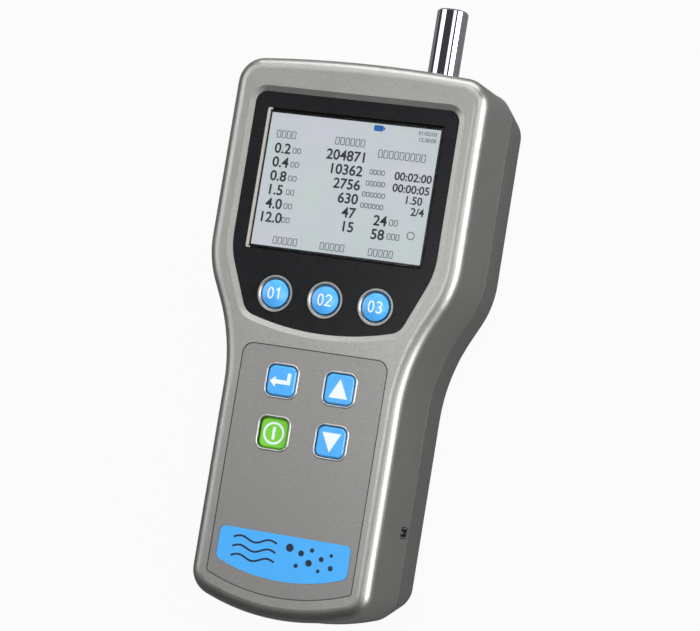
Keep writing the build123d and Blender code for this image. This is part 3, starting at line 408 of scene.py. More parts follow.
@dataclass(frozen=True)
class PaintedLightMetal:
    """Display frame metal that holds painted light: near-black painted shade, and a bright left border that
    glows as a painted reflection.
    """

    name: str
    dark: Colour
    bright: Colour
    border: float = -35.0 * MM
    blend_per_metre: float = 10000.0
    blend_stops: Point = (0.4, 0.6)
    metallic: float = 0.9
    roughness: float = 0.3
    gloss_spread: float = 0.03
    gloss_scale: float = 300.0
    # The glow makes the painted reflection shine, though the frame is no lamp.
    glow: float = 0.4

    def build(self) -> bpy.types.Material:
        """Make the material: painted reflection left of the border and painted shade right of it, with noise
        in the gloss.
        """
        graph = Graph(self.name)
        spot = graph.place()
        across = graph.node("SeparateXYZ")
        graph.join(spot, across.inputs["Vector"])
        shift = graph.reckon("SUBTRACT", across.outputs["X"], self.border)
        steep = graph.reckon("MULTIPLY_ADD", shift, self.blend_per_metre, 0.5)
        colour = graph.ramp(steep, list(zip(self.blend_stops, (self.bright, self.dark))))
        return graph.principled({
            "Base Color": colour,
            "Metallic": self.metallic,
            "Roughness": graph.vary(graph.noise(spot, self.gloss_scale), self.roughness, self.gloss_spread),
            "Emission Color": colour,
            "Emission Strength": self.glow,
        })


@dataclass(frozen=True)
class ClearPane:
    """Clear acrylic, see-through, with the faintest haze."""

    name: str
    colour: Colour
    index: float = 1.49
    haze: float = 0.02
    haze_scale: float = 90.0
    tone_scale: float = 30.0
    tone_low: float = 0.99

    def build(self) -> bpy.types.Material:
        """Make the material: very soft noise gives the pane its haze."""
        graph = Graph(self.name)
        tone = graph.ramp(graph.noise(graph.place(), self.tone_scale), [
            (CLOUD_LOW, tint(self.colour, self.tone_low)),
            (CLOUD_HIGH, self.colour),
        ])
        return graph.principled({
            "Base Color": tone,
            "Roughness": graph.remap(graph.noise(graph.place(), self.haze_scale), 0.0, self.haze),
            "IOR": self.index,
            "Transmission Weight": 1.0,
        })


@dataclass(frozen=True)
class LitPicture:
    """The display's lit face: pale blue-grey with broad bands of faint green and lilac."""

    name: str
    tones: tuple[Colour, Colour, Colour]
    tone_stops: Place = (0.32, 0.5, 0.68)
    band_stretch: Colour = (1.6, 0.7, 1.0)
    band_turn: float = 0.4
    band_scale: float = 45.0
    strength: float = 0.84
    unlit_share: float = 0.25
    roughness: float = 0.35
    specular: float = 0.2

    def build(self) -> bpy.types.Material:
        """Make the material: slow noise, stretched along the rows, chooses between three tones."""
        graph = Graph(self.name)
        slow = graph.noise(graph.place(self.band_stretch, self.band_turn), self.band_scale, 1.0)
        colour = graph.ramp(slow, list(zip(self.tone_stops, self.tones)))
        unlit = graph.node("MixRGB", blend_type="MULTIPLY", Fac=1.0, Color2=(*[self.unlit_share] * 3, 1.0))
        graph.join(colour, unlit.inputs["Color1"])
        return graph.principled({
            "Base Color": unlit.outputs["Color"],
            "Roughness": self.roughness,
            "Specular IOR Level": self.specular,
            "Emission Color": colour,
            "Emission Strength": self.strength,
        })


# Materials made so far, by the finish's name; the frame's own flat materials are never looked up.
MATERIALS: dict[str, bpy.types.Material] = {}


class Finish(Enum):
    """Every finish on the particle counter."""

    FRONT_PAINT = MetallicPaint("silver_front", shade("a5a4a1"))
    REAR_PAINT = MetallicPaint("silver_rear", shade("92918f"))
    KEYPAD_FILM = MetallicPaint("keypad_film", shade("979694"), grain=0.2, flakes_per_metre=5200.0,
                                roughness=0.46)
    # The rims' silver is lighter than the case's own paint. This is a painted highlight on the raised beads.
    RIM_PAINTED_HIGHLIGHT = MetallicPaint("rim_painted_highlight", shade("bebebc"), roughness=0.33)
    BLACK_PANEL = Moulded("black_panel", shade("17181a"), roughness=0.28, skin_depth=0.001 * MM,
                          specular=0.22)
    CLEAR_WINDOW = ClearPane("clear_pane", (0.97, 0.98, 0.98))
    # Painted light: the frame is near-black painted shade, and its left border is a glowing painted
    # reflection.
    DISPLAY_METAL_PAINTED_LIGHT = PaintedLightMetal("display_metal", dark=shade("0c0d0e"), bright=shade("d2d0cc"))
    DISPLAY_BORDER = Moulded("display_border", shade("101215"), roughness=0.3)
    DISPLAY_PICTURE = LitPicture("display_picture",
                                 (shade("cbd5d3"), shade("ccd3d9"), shade("d3d1dc")))
    DISPLAY_INK = Moulded("display_ink", shade("1f262e"), roughness=0.5, glow=0.4)
    DISPLAY_FAINT_INK = Moulded("display_faint_ink", shade("4d565f"), roughness=0.5, glow=0.5)
    DISPLAY_BLUE = Moulded("display_blue", shade("0f63b4"), roughness=0.5, glow=0.4)
    BACKLIGHT = Moulded("backlight", shade("e6e9ea"), roughness=0.6)
    KEY_BLUE = Moulded("key_blue", shade("4eb0fb"), roughness=0.28, skin_depth=0.006 * MM, coat=0.2,
                       variety=0.03)
    KEY_GREEN = Moulded("key_green", shade("7ad63c"), roughness=0.28, skin_depth=0.006 * MM, coat=0.2,
                        variety=0.03)
    LEGEND_WHITE = Moulded("legend_white", shade("eef5fb"), roughness=0.4, variety=0.01)
    LABEL_BLUE = Moulded("label_blue", shade("44aefa"), roughness=0.45, skin_scale=2000.0, variety=0.02)
    LABEL_INK = Moulded("label_ink", shade("0c1c33"), roughness=0.5, variety=0.05)
    PROBE_CHROME = Metal("probe_chrome", (0.66, 0.68, 0.72), roughness=0.05, brush=(1.0, 0.05, 1.0),
                         brush_depth=0.0001 * MM)
    ZINC = Metal("zinc_steel", shade("c4c5c4"), roughness=0.3)
    BRIGHT_STEEL = Metal("bright_steel", shade("d2d3d3"), roughness=0.2, brush=(1.0, 0.1, 1.0))
    BRASS = Metal("brass", (0.78, 0.57, 0.18), roughness=0.24)
    BOARD_GREEN = Moulded("board_green", (0.02, 0.16, 0.06), roughness=0.35, skin_scale=400.0, variety=0.2)
    BLACK_PLASTIC = Moulded("black_plastic", (0.03, 0.03, 0.032), roughness=0.45)
    GREY_PLASTIC = Moulded("grey_plastic", (0.3, 0.3, 0.31), roughness=0.5)
    WHITE_PLASTIC = Moulded("white_plastic", (0.82, 0.84, 0.85), roughness=0.45)
    SILICONE = Moulded("silicone_hose", (0.7, 0.7, 0.66), roughness=0.5, specular=0.4)
    RUBBER = Moulded("black_rubber", (0.025, 0.025, 0.025), roughness=0.75, skin_depth=0.03 * MM)
    ANODISED = Metal("black_anodised", (0.05, 0.05, 0.055), roughness=0.4)
    BATTERY_WRAP = Moulded("battery_wrap", (0.04, 0.12, 0.42), roughness=0.3, coat=0.3)

    def material(self) -> bpy.types.Material:
        """Give this finish's material, made at its first use.

        Returns:
            The material.
        """
        if self.name not in MATERIALS:
            MATERIALS[self.name] = self.value.build()
        return MATERIALS[self.name]


def paint(node: str, finish: Finish) -> None:
    """Put one finish on a solid of the frame.

    Args:
        node: The solid's name.
        finish: The finish it gets.
    """
    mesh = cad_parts[node].data
    mesh.materials.clear()
    mesh.materials.append(finish.material())
    LOG.info("%s gets %s", node, finish.value.name)


# ---------------------------------------------------------------------------------------------
# Mesh tools
# ---------------------------------------------------------------------------------------------

class Piece:
    """Gathers surfaces as arrays and makes one mesh object of them."""

    def __init__(self, name: str, body: str, finish: Finish, slot: str) -> None:
        """Start an empty piece.

        Args:
            name: The piece's name.
            body: The moving body that carries it.
            finish: Its finish.
            slot: Its material slot's name; kept on the piece but not used.
        """
        self.name, self.body, self.finish, self.slot = name, body, finish, slot
        self.points: list[np.ndarray] = []
        self.faces: list[list[int]] = []
        self.count = 0

    def add(self, points: np.ndarray, faces: np.ndarray | list) -> None:
        """Add vertices and the faces that use them.

        Args:
            points: An array of shape (n, 3), in metres.
            faces: Rows of vertex numbers that start at 0.
        """
        rows = faces.tolist() if isinstance(faces, np.ndarray) else faces
        self.faces += [[index + self.count for index in row] for row in rows]
        self.points.append(np.asarray(points, float))
        self.count += len(points)

    def build(self, smooth: bool = False) -> bpy.types.Object:
        """Make the object, dress it and let it ride on its body.

        Args:
            smooth: Whether its faces are shaded as one curved surface.

        Returns:
            The new object.
        """
        mesh = bpy.data.meshes.new(self.name)
        mesh.from_pydata(np.concatenate(self.points).tolist(), [], self.faces)
        mesh.validate()
        mesh.polygons.foreach_set("use_smooth", np.full(len(mesh.polygons), smooth))
        mesh.materials.append(self.finish.material())
        made = bpy.data.objects.new(self.name, mesh)
        bpy.context.scene.collection.objects.link(made)
        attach(made, self.body)
        LOG.info("%s: %d faces on %s", self.name, len(mesh.polygons), self.body)
        return made


# Cosine of half the sharpest turn at which a carried strip still keeps its full width.
SHARPEST_TURN = 0.4


def grid_faces(rows: int, columns: int, closed_rows: bool, closed_columns: bool) -> np.ndarray:
    """Number the four-sided faces of a grid of points.

    The point in row r and column c has number r * columns + c; each face joins it to its neighbours.

    Args:
        rows: Rows of points.
        columns: Columns of points.
        closed_rows: Whether the last row joins the first.
        closed_columns: Whether the last column joins the first.

    Returns:
        An array of shape (faces, 4).
    """
    row = np.arange(rows if closed_rows else rows - 1)[:, None]
    column = np.arange(columns if closed_columns else columns - 1)[None, :]
    next_row, next_column = (row + 1) % rows, (column + 1) % columns
    corners = [row * columns + column, row * columns + next_column,
               next_row * columns + next_column, next_row * columns + column]
    return np.stack([np.broadcast_to(c, (row.size, column.size)) for c in corners], axis=-1).reshape(-1, 4)


def carry(path: np.ndarray, profile: np.ndarray, closed: bool) -> MeshData:
    """Carry a flat profile along a flat path.

    At each station the profile's first value is measured along the path's left-hand normal,
    stretched by 1 / cos(half the turn) so that the strip keeps its width, and its second along Z.

    Args:
        path: Stations of shape (n, 3); the profile stands on their Z.
        profile: Points of shape (m, 2), anticlockwise seen along the path.
        closed: Whether the path ends where it starts.

    Returns:
        Vertices and faces, closed at the ends where the path is open.
    """
    flat = path[:, :2]
    if closed:
        ahead, behind = np.roll(flat, -1, axis=0) - flat, flat - np.roll(flat, 1, axis=0)
    else:
        steps = np.diff(flat, axis=0)
        ahead, behind = np.vstack([steps, steps[-1]]), np.vstack([steps[:1], steps])
    ahead = ahead / np.linalg.norm(ahead, axis=1, keepdims=True)
    behind = behind / np.linalg.norm(behind, axis=1, keepdims=True)
    along = ahead + behind
    along = along / np.linalg.norm(along, axis=1, keepdims=True)
    stretch = 1 / np.clip(np.sum(along * ahead, axis=1), SHARPEST_TURN, 1.0)
    left = np.stack([-along[:, 1], along[:, 0]], axis=1) * stretch[:, None]
    points = np.empty((len(path), len(profile), 3))
    points[..., :2] = flat[:, None, :] + left[:, None, :] * profile[None, :, :1]
    points[..., 2] = path[:, None, 2] + profile[None, :, 1]
    faces = grid_faces(len(path), len(profile), closed, True).tolist()
    if not closed:
        faces.append(list(range(len(profile))))
        faces.append(list(range((len(path) - 1) * len(profile), len(path) * len(profile)))[::-1])
    return points.reshape(-1, 3), faces


def box_profile(width: float, low: float, high: float) -> np.ndarray:
    """Give a stroke's section, a rectangle.

    Args:
        width: The stroke's width.
        low: Level of its underside.
        high: Level of its top.

    Returns:
        Four corners.
    """
    half = width / 2
    return np.array([(half, low), (half, high), (-half, high), (-half, low)])


def bead_profile(radius: float, low: float, steps: int = 7) -> np.ndarray:
    """Give a half-round bead's section: x = r cos a and z = r sin a, with a foot under it.

    Args:
        radius: The bead's radius.
        low: Level of its foot.
        steps: Points on its round.

    Returns:
        Points of shape (steps + 2, 2).
    """
    dome = arc((0.0, 0.0), radius, 0, 180, steps)
    return np.vstack([dome, [(-radius, low), (radius, low)]])


def at_level(outline: np.ndarray, level: float) -> np.ndarray:
    """Lift flat points to a level.

    Args:
        outline: Points of shape (n, 2).
        level: Their height.

    Returns:
        Points of shape (n, 3).
    """
    return np.column_stack([outline, np.full(len(outline), level)])


def top_middle(node: str) -> tuple[np.ndarray, float]:
    """Find where a solid's top is.

    Args:
        node: The solid's name.

    Returns:
        The middle of its box in plan, and the level of its top.
    """
    low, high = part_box(node)
    return np.array([(low.x + high.x) / 2, (low.y + high.y) / 2]), high.z


def prism(outline: np.ndarray, low: float, high: float) -> MeshData:
    """Make a closed plate from an anticlockwise outline.

    Args:
        outline: Corner points of shape (n, 2).
        low: Level of its underside.
        high: Level of its top.

    Returns:
        Vertices and faces.
    """
    count = len(outline)
    walls = [[i, (i + 1) % count, count + (i + 1) % count, count + i] for i in range(count)]
    points = np.vstack([at_level(outline, low), at_level(outline, high)])
    return points, [list(range(count))[::-1], list(range(count, 2 * count)), *walls]


def arc(centre: Point, radius: float, start: float, end: float, steps: int = 24) -> np.ndarray:
    """Give points on an arc: centre + r (cos a, sin a).

    Args:
        centre: The arc's centre.
        radius: Its radius.
        start: The first angle in degrees.
        end: The last angle in degrees.
        steps: How many points.

    Returns:
        Points of shape (steps, 2).
    """
    angle = np.radians(np.linspace(start, end, steps))
    return np.array(centre) + radius * np.stack([np.cos(angle), np.sin(angle)], axis=1)


def circle(radius: float, steps: int) -> np.ndarray:
    """Give an anticlockwise circle about the origin.

    Args:
        radius: Its radius.
        steps: How many points.

    Returns:
        Points of shape (steps, 2).
    """
    return arc((0.0, 0.0), radius, 0, 360, steps + 1)[:-1]


def rounded_outline(half_width: float, half_height: float, radius: float, steps: int = 9) -> np.ndarray:
    """Give an anticlockwise rounded rectangle about the origin, its corners quarter circles.

    Args:
        half_width: Half its width.
        half_height: Half its height.
        radius: Radius of its corners.
        steps: Points on each corner.

    Returns:
        Points of shape (4 * steps, 2).
    """
    corners = [((half_width - radius) * sx, (half_height - radius) * sy, start)
               for sx, sy, start in ((1, 1, 0), (-1, 1, 90), (-1, -1, 180), (1, -1, 270))]
    return np.vstack([arc((x, y), radius, start, start + 90, steps) for x, y, start in corners])


def finely(path: np.ndarray, spacing: float) -> np.ndarray:
    """Add points along a path's straight runs.

    Args:
        path: Points of shape (n, 2).
        spacing: The widest gap left between two points.

    Returns:
        The path with the points added.
    """
    lengths = np.linalg.norm(np.diff(path, axis=0), axis=1)
    counts = np.maximum(1, np.ceil(lengths / spacing).astype(int))
    runs = [path[i] + (path[i + 1] - path[i]) * np.linspace(0, 1, n, endpoint=False)[:, None]
            for i, n in enumerate(counts)]
    return np.vstack([*runs, path[-1:]])


def lettering(text: str, height: float, bold: float, thickness: float = 0.04 * MM) -> MeshData:
    """Make figures as a closed mesh that stands on z = 0 with its middle at the origin.

    Args:
        text: The figures.
        height: Height of a capital.
        bold: Extra half-width of a stroke, as a share of the height.
        thickness: Depth of the figures.

    Returns:
        Vertices and faces.
    """
    capital = 0.7
    curve = bpy.data.curves.new("figures", "FONT")
    curve.body = text
    curve.size = 1.0
    curve.align_x = "CENTER"
    curve.offset = bold
    curve.extrude = 0.5
    curve.resolution_u = 6
    holder = bpy.data.objects.new("figures", curve)
    bpy.context.scene.collection.objects.link(holder)
    graph = bpy.context.evaluated_depsgraph_get()
    mesh = bpy.data.meshes.new_from_object(holder.evaluated_get(graph))
    points = np.empty(len(mesh.vertices) * 3)
    mesh.vertices.foreach_get("co", points)
    points = points.reshape(-1, 3)
    mesh.calc_loop_triangles()
    triangles = np.empty(len(mesh.loop_triangles) * 3, int)
    mesh.loop_triangles.foreach_get("vertices", triangles)
    bpy.data.objects.remove(holder)
    bpy.data.curves.remove(curve)
    bpy.data.meshes.remove(mesh)
    points[:, :2] *= height / capital
    points[:, 1] -= height / 2
    points[:, 2] = (points[:, 2] + 0.5) * thickness
    return points, triangles.reshape(-1, 3).tolist()


# ---------------------------------------------------------------------------------------------
# Sub-assemblies
# ---------------------------------------------------------------------------------------------

class SubAssembly:
    """Solids of the frame that belong together, and the pieces that are added to them."""

    finishes: ClassVar[dict[str, Finish]] = {}

    def dress(self) -> None:
        """Give each solid its finish."""
        for node, finish in self.finishes.items():
            paint(node, finish)

    def build(self) -> None:
        """Add the pieces that the frame doesn't hold; a plain sub-assembly has none."""


class CaseShells(SubAssembly):
    """The two halves of the case with the battery cover and what is seen on the back."""

    finishes = {
        "front_case": Finish.FRONT_PAINT, "rear_case": Finish.REAR_PAINT, "battery_cover": Finish.REAR_PAINT,
        "battery_cover_screw": Finish.ZINC, "case_screws": Finish.ZINC, "tripod_insert": Finish.BRASS,
        "usb_socket": Finish.BRIGHT_STEEL,
    }


class Reading(NamedTuple):
    """A line of figures on the display.

    Its place, from the picture's middle, and its height are in millimetres. Align is as in ScreenUnit.put.
    """

    text: str
    place: Point
    height: float
    bold: float = 0.02
    align: float = 1.0


class Caption(NamedTuple):
    """A row of small open squares on the display: middle, height and pitch are in millimetres."""

    squares: int
    middle: Point
    height: float
    pitch: float


@dataclass
class ScreenUnit(SubAssembly):
    """The black panel, its window and the lit display with its rows of figures."""

    finishes = {
        "screen_panel": Finish.BLACK_PANEL, "display_window": Finish.CLEAR_WINDOW,
        # The lcd_frame's finish paints its shade, and a glowing reflection on its left.
        "lcd_frame": Finish.DISPLAY_METAL_PAINTED_LIGHT, "lcd_glass": Finish.DISPLAY_BORDER,
        "lcd_backlight": Finish.BACKLIGHT, "lcd_carrier": Finish.GREY_PLASTIC,
    }
    picture_width: float = 70.1 * MM
    picture_height: float = 52.6 * MM
    picture_corner: float = 0.2 * MM
    picture_thickness: float = 0.1 * MM
    ink_lift: float = 0.03 * MM
    ink_depth: float = 0.04 * MM
    strip_width: float = 0.2 * MM
    strip_gap: float = 0.75 * MM
    strip_depth: float = 0.5 * MM
    strip_corner: float = 0.1 * MM
    strip_past_picture: float = 0.6 * MM
    row_height: float = 3.95 * MM
    row_pitch: float = 5.5 * MM
    bold: float = 0.02
    top_row: float = 12.5 * MM
    size_column: float = -28.3 * MM
    count_column: float = 6.0 * MM
    sizes: tuple[str, ...] = ("0.2", "0.4", "0.8", "1.5", "4.0", "12.0")
    counts: tuple[str, ...] = ("204871", "10362", "2756", "630", "47", "15")
    readings: tuple[Reading, ...] = (
        Reading("00:02:00", (34.4, 6.9), 3.1), Reading("00:00:05", (34.2, 2.3), 3.1),
        Reading("1.50", (32.0, -1.9), 3.0), Reading("2/4", (33.4, -6.2), 3.0),
        Reading("24", (16.4, -11.1), 3.95, align=0.0), Reading("58", (16.2, -16.5), 3.95, align=0.0),
        Reading("01/02/03", (33.6, 24.4), 1.5, bold=0.004),
        Reading("12:30:00", (33.6, 21.9), 1.5, bold=0.004),
    )
    captions: tuple[Caption, ...] = (
        Caption(4, (-27.7, 18.0), 2.8, 2.1), Caption(6, (-1.0, 17.9), 2.8, 2.1),
        Caption(9, (20.9, 14.7), 2.9, 2.2), Caption(4, (12.0, 7.3), 1.7, 1.6),
        Caption(5, (12.0, 2.8), 1.7, 1.6), Caption(6, (12.0, -1.6), 1.7, 1.6),
        Caption(6, (12.0, -6.0), 1.7, 1.6), Caption(5, (-21.1, -23.7), 2.7, 2.1),
        Caption(5, (-1.4, -23.7), 2.7, 2.1), Caption(5, (18.6, -23.7), 2.7, 2.1),
        Caption(2, (21.9, -11.4), 2.2, 1.9), Caption(3, (22.6, -16.8), 2.2, 1.8),
    )
    unit: Caption = Caption(2, (-22.3, 12.0), 1.9, 1.9)
    square_share: float = 0.34
    square_stroke: float = 0.3 * MM
    square_corner: float = 0.3 * MM
    ring_radius: float = 1.45 * MM
    ring_stroke: float = 0.36 * MM
    ring_place: Point = (29.6 * MM, -15.5 * MM)
    battery_level: float = 24.5 * MM
    battery_body: tuple[float, ...] = (1.9 * MM, 1.15 * MM, 0.3 * MM)
    battery_body_x: float = 9.7 * MM
    battery_nib: tuple[float, ...] = (0.3 * MM, 0.6 * MM, 0.1 * MM)
    battery_nib_x: float = 12.0 * MM
    centre: np.ndarray = field(init=False)
    surface: float = field(init=False)

    def build(self) -> None:
        """Make the lit picture, the glowing strip of painted reflection beside it and every mark on it."""
        self.centre, level = top_middle("lcd_glass")
        self.surface = level + self.picture_thickness + self.ink_lift
        half_height = self.picture_height / 2
        picture = Piece("display_picture", "case", Finish.DISPLAY_PICTURE, "display_face")
        outline = rounded_outline(self.picture_width / 2, half_height, self.picture_corner, 3) + self.centre
        picture.add(*prism(outline, level, level + self.picture_thickness))
        picture.build()
        # A glowing strip left of the picture: a painted reflection where the frame's edge catches light.
        strip = Piece("display_painted_glint_edge", "case", Finish.DISPLAY_METAL_PAINTED_LIGHT, "display_metal")
        reach = half_height + self.strip_past_picture
        edge = rounded_outline(self.strip_width / 2, reach, self.strip_corner, 2)
        edge += self.centre - (self.picture_width / 2 + self.strip_gap + self.strip_width / 2, 0.0)
        strip.add(*prism(edge, level, level + self.strip_depth))
        strip.build()
        self.build_figures()
        self.build_captions()
        self.build_battery_sign()

    def put(self, piece: Piece, shape: MeshData, at: Point, align: float = 0.0) -> None:
        """Set a shape on the picture.

        Args:
            piece: The piece that gathers it.
            shape: Vertices and faces about the origin.
            at: Its place from the picture's centre.
            align: 0 centres it, 1 puts its right end there and -1 its left end.
        """
        points, faces = shape
        points = points.copy()
        low, high = points[:, 0].min(), points[:, 0].max()
        points[:, 0] += at[0] - (low + high) / 2 - align * (high - low) / 2
        points[:, 1] += at[1]
        points[:, :2] += self.centre
        points[:, 2] += self.surface
        piece.add(points, faces)

    def build_figures(self) -> None:
        """Set the two columns of rows, then the readings."""
        figures = Piece("display_figures", "case", Finish.DISPLAY_INK, "display_face")
        for row, (size, count) in enumerate(zip(self.sizes, self.counts)):
            y = self.top_row - row * self.row_pitch
            for text, x, align in ((size, self.size_column, 0.0), (count, self.count_column, 1.0)):
                self.put(figures, lettering(text, self.row_height, self.bold), (x, y), align)
        for line in self.readings:
            x, y = line.place
            shape = lettering(line.text, line.height * MM, line.bold)
            self.put(figures, shape, (x * MM, y * MM), line.align)
        figures.build()

    def build_captions(self) -> None:
        """Stand rows of small open squares where a heading or a caption is, two beside each row's size."""
        words = Piece("display_captions", "case", Finish.DISPLAY_FAINT_INK, "display_face")
        x, y = self.unit.middle
        fall = self.row_pitch / MM
        units = [self.unit._replace(middle=(x, y - row * fall)) for row in range(len(self.sizes))]
        profile = box_profile(self.square_stroke, 0.0, self.ink_depth)
        for squares, (x, y), height, pitch in (*self.captions, *units):
            half_width = self.square_share * pitch * MM
            outline = rounded_outline(half_width, height * MM / 2, self.square_corner, 3)
            square = carry(at_level(outline, 0.0), profile, True)
            for index in range(squares):
                place = (x + (index - (squares - 1) / 2) * pitch) * MM
                self.put(words, square, (place, y * MM))
        profile = box_profile(self.ring_stroke, 0.0, self.ink_depth)
        ring = carry(at_level(circle(self.ring_radius, 24), 0.0), profile, True)
        self.put(words, ring, self.ring_place)
        words.build()

    def build_battery_sign(self) -> None:
        """Put the small blue battery, a body and its nib, near the top edge."""
        sign = Piece("display_battery_sign", "case", Finish.DISPLAY_BLUE, "display_face")
        body = prism(rounded_outline(*self.battery_body, 4), 0.0, self.ink_depth)
        self.put(sign, body, (self.battery_body_x, self.battery_level))
        nib = prism(rounded_outline(*self.battery_nib, 2), 0.0, self.ink_depth)
        self.put(sign, nib, (self.battery_nib_x, self.battery_level))
        sign.build()


@dataclass
class FunctionKeys(SubAssembly):
    """The three round keys below the display, each with its legend on a domed top."""

    finishes = {f"f{number}_key": Finish.KEY_BLUE for number in (1, 2, 3)}
    legend_height: float = 4.3 * MM
    stroke: float = 0.54 * MM
    skin: float = 0.04 * MM
    sink: float = 0.15 * MM
    crown: float = 0.8 * MM
    dome_reach: float = 5.4 * MM
    station_gap: float = 0.3 * MM

    def strokes(self, number: int) -> list[np.ndarray]:
        """Give a nought and a figure as paths about the origin, in shares of the legend's height.

        Args:
            number: The figure, 1 to 3.

        Returns:
            Paths of shape (n, 2).
        """
        nought = arc((0.0, 0.0), 1.0, 90, 450, 33) * (0.24, 0.48) + (-0.36, 0.0)
        figures = {
            1: [np.array([(0.16, 0.28), (0.40, 0.5), (0.40, -0.5)])],
            2: [np.vstack([arc((0.38, 0.24), 0.25, 170, -30, 14), [(0.12, -0.46), (0.64, -0.46)]])],
            3: [np.vstack([arc((0.36, 0.25), 0.235, 150, -80, 14),
                           arc((0.36, -0.24), 0.255, 80, -150, 14)])],
        }
        return [nought, *figures[number]]

    def build(self) -> None:
        """Drape each legend over its key: z = top - R + sqrt(R^2 - r^2), with r from the key's axis.

        A dome of radius R falls by its crown c at its reach a, so R = (a^2 + c^2) / 2c.
        """
        dome = (self.dome_reach**2 + self.crown**2) / (2 * self.crown)
        profile = box_profile(self.stroke, -self.sink, self.skin)
        for number in (1, 2, 3):
            middle, top = top_middle(f"f{number}_key")
            legend = Piece(f"f{number}_legend", f"f{number}_button", Finish.LEGEND_WHITE, "key_blue")
            for stroke in self.strokes(number):
                flat = finely(stroke * self.legend_height, self.station_gap)
                level = top - dome + np.sqrt(dome**2 - np.sum(flat**2, axis=1))
                path = np.column_stack([flat + middle, level])
                closed = bool(np.allclose(path[0], path[-1]))
                path = path[:-1] if closed else path
                legend.add(*carry(path, profile, closed))
            legend.build()


@dataclass
class SquareKeys(SubAssembly):
    """The four keys on the keypad, with their signs and the raised rims of their openings."""

    finishes = {
        "enter_key": Finish.KEY_BLUE, "up_key": Finish.KEY_BLUE, "down_key": Finish.KEY_BLUE,
        "power_key": Finish.KEY_GREEN,
    }
    half_side: float = 5.8 * MM
    corner: float = 2.5 * MM
    gap: float = 0.35 * MM
    bead: float = 0.38 * MM
    bead_foot: float = 0.1 * MM
    skin: float = 0.05 * MM
    ring_radius: float = 3.95 * MM
    ring_stroke: float = 0.85 * MM
    bar: tuple[float, ...] = (0.6 * MM, 2.45 * MM, 0.2 * MM)
    triangle_half_width: float = 3.85 * MM
    triangle_tip: float = 4.0 * MM
    triangle_base: float = -3.5 * MM
    arrow: tuple[Point, ...] = (
        (-4.75, -0.5), (-2.4, 1.65), (-2.4, 0.3), (2.2, 0.3), (2.2, 3.2), (3.7, 3.2), (3.7, -1.3),
        (-2.4, -1.3), (-2.4, -2.65),
    )

    def sign(self, name: str) -> list[MeshData]:
        """Give a key's sign as closed plates about the origin.

        Args:
            name: "enter", "up", "down" or "power".

        Returns:
            Vertices and faces of each plate.
        """
        low, high = -self.skin, self.skin
        if name == "power":
            profile = box_profile(self.ring_stroke, low, high)
            ring = carry(at_level(circle(self.ring_radius, 48), 0.0), profile, True)
            return [ring, prism(rounded_outline(*self.bar, 4), low, high)]
        if name == "enter":
            return [prism(np.array(self.arrow)[::-1] * MM, low, high)]
        flip = 1 if name == "up" else -1
        half, tip, base = self.triangle_half_width, self.triangle_tip, self.triangle_base
        return [prism(np.array([(0.0, tip), (-half, base), (half, base)]) * flip, low, high)]

    def build(self) -> None:
        """Make the signs on the keys and one piece of rims around them."""
        # The rim beads are real geometry, and their lighter silver is a painted highlight.
        rims = Piece("key_rims", "case", Finish.RIM_PAINTED_HIGHLIGHT, "silver_case")
        sheet_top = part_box("keypad_overlay")[1].z
        reach = self.half_side + self.gap + self.bead
        rim = rounded_outline(reach, reach, self.corner + self.gap + self.bead)
        profile = bead_profile(self.bead, -self.bead_foot)
        for name in ("enter", "up", "power", "down"):
            middle, top = top_middle(f"{name}_key")
            slot = "key_green" if name == "power" else "key_blue"
            sign = Piece(f"{name}_sign", f"{name}_button", Finish.LEGEND_WHITE, slot)
            for points, faces in self.sign(name):
                sign.add(points + (*middle, top), faces)
            sign.build()
            rims.add(*carry(at_level(rim + middle, sheet_top), profile, True))
        rims.build(smooth=True)


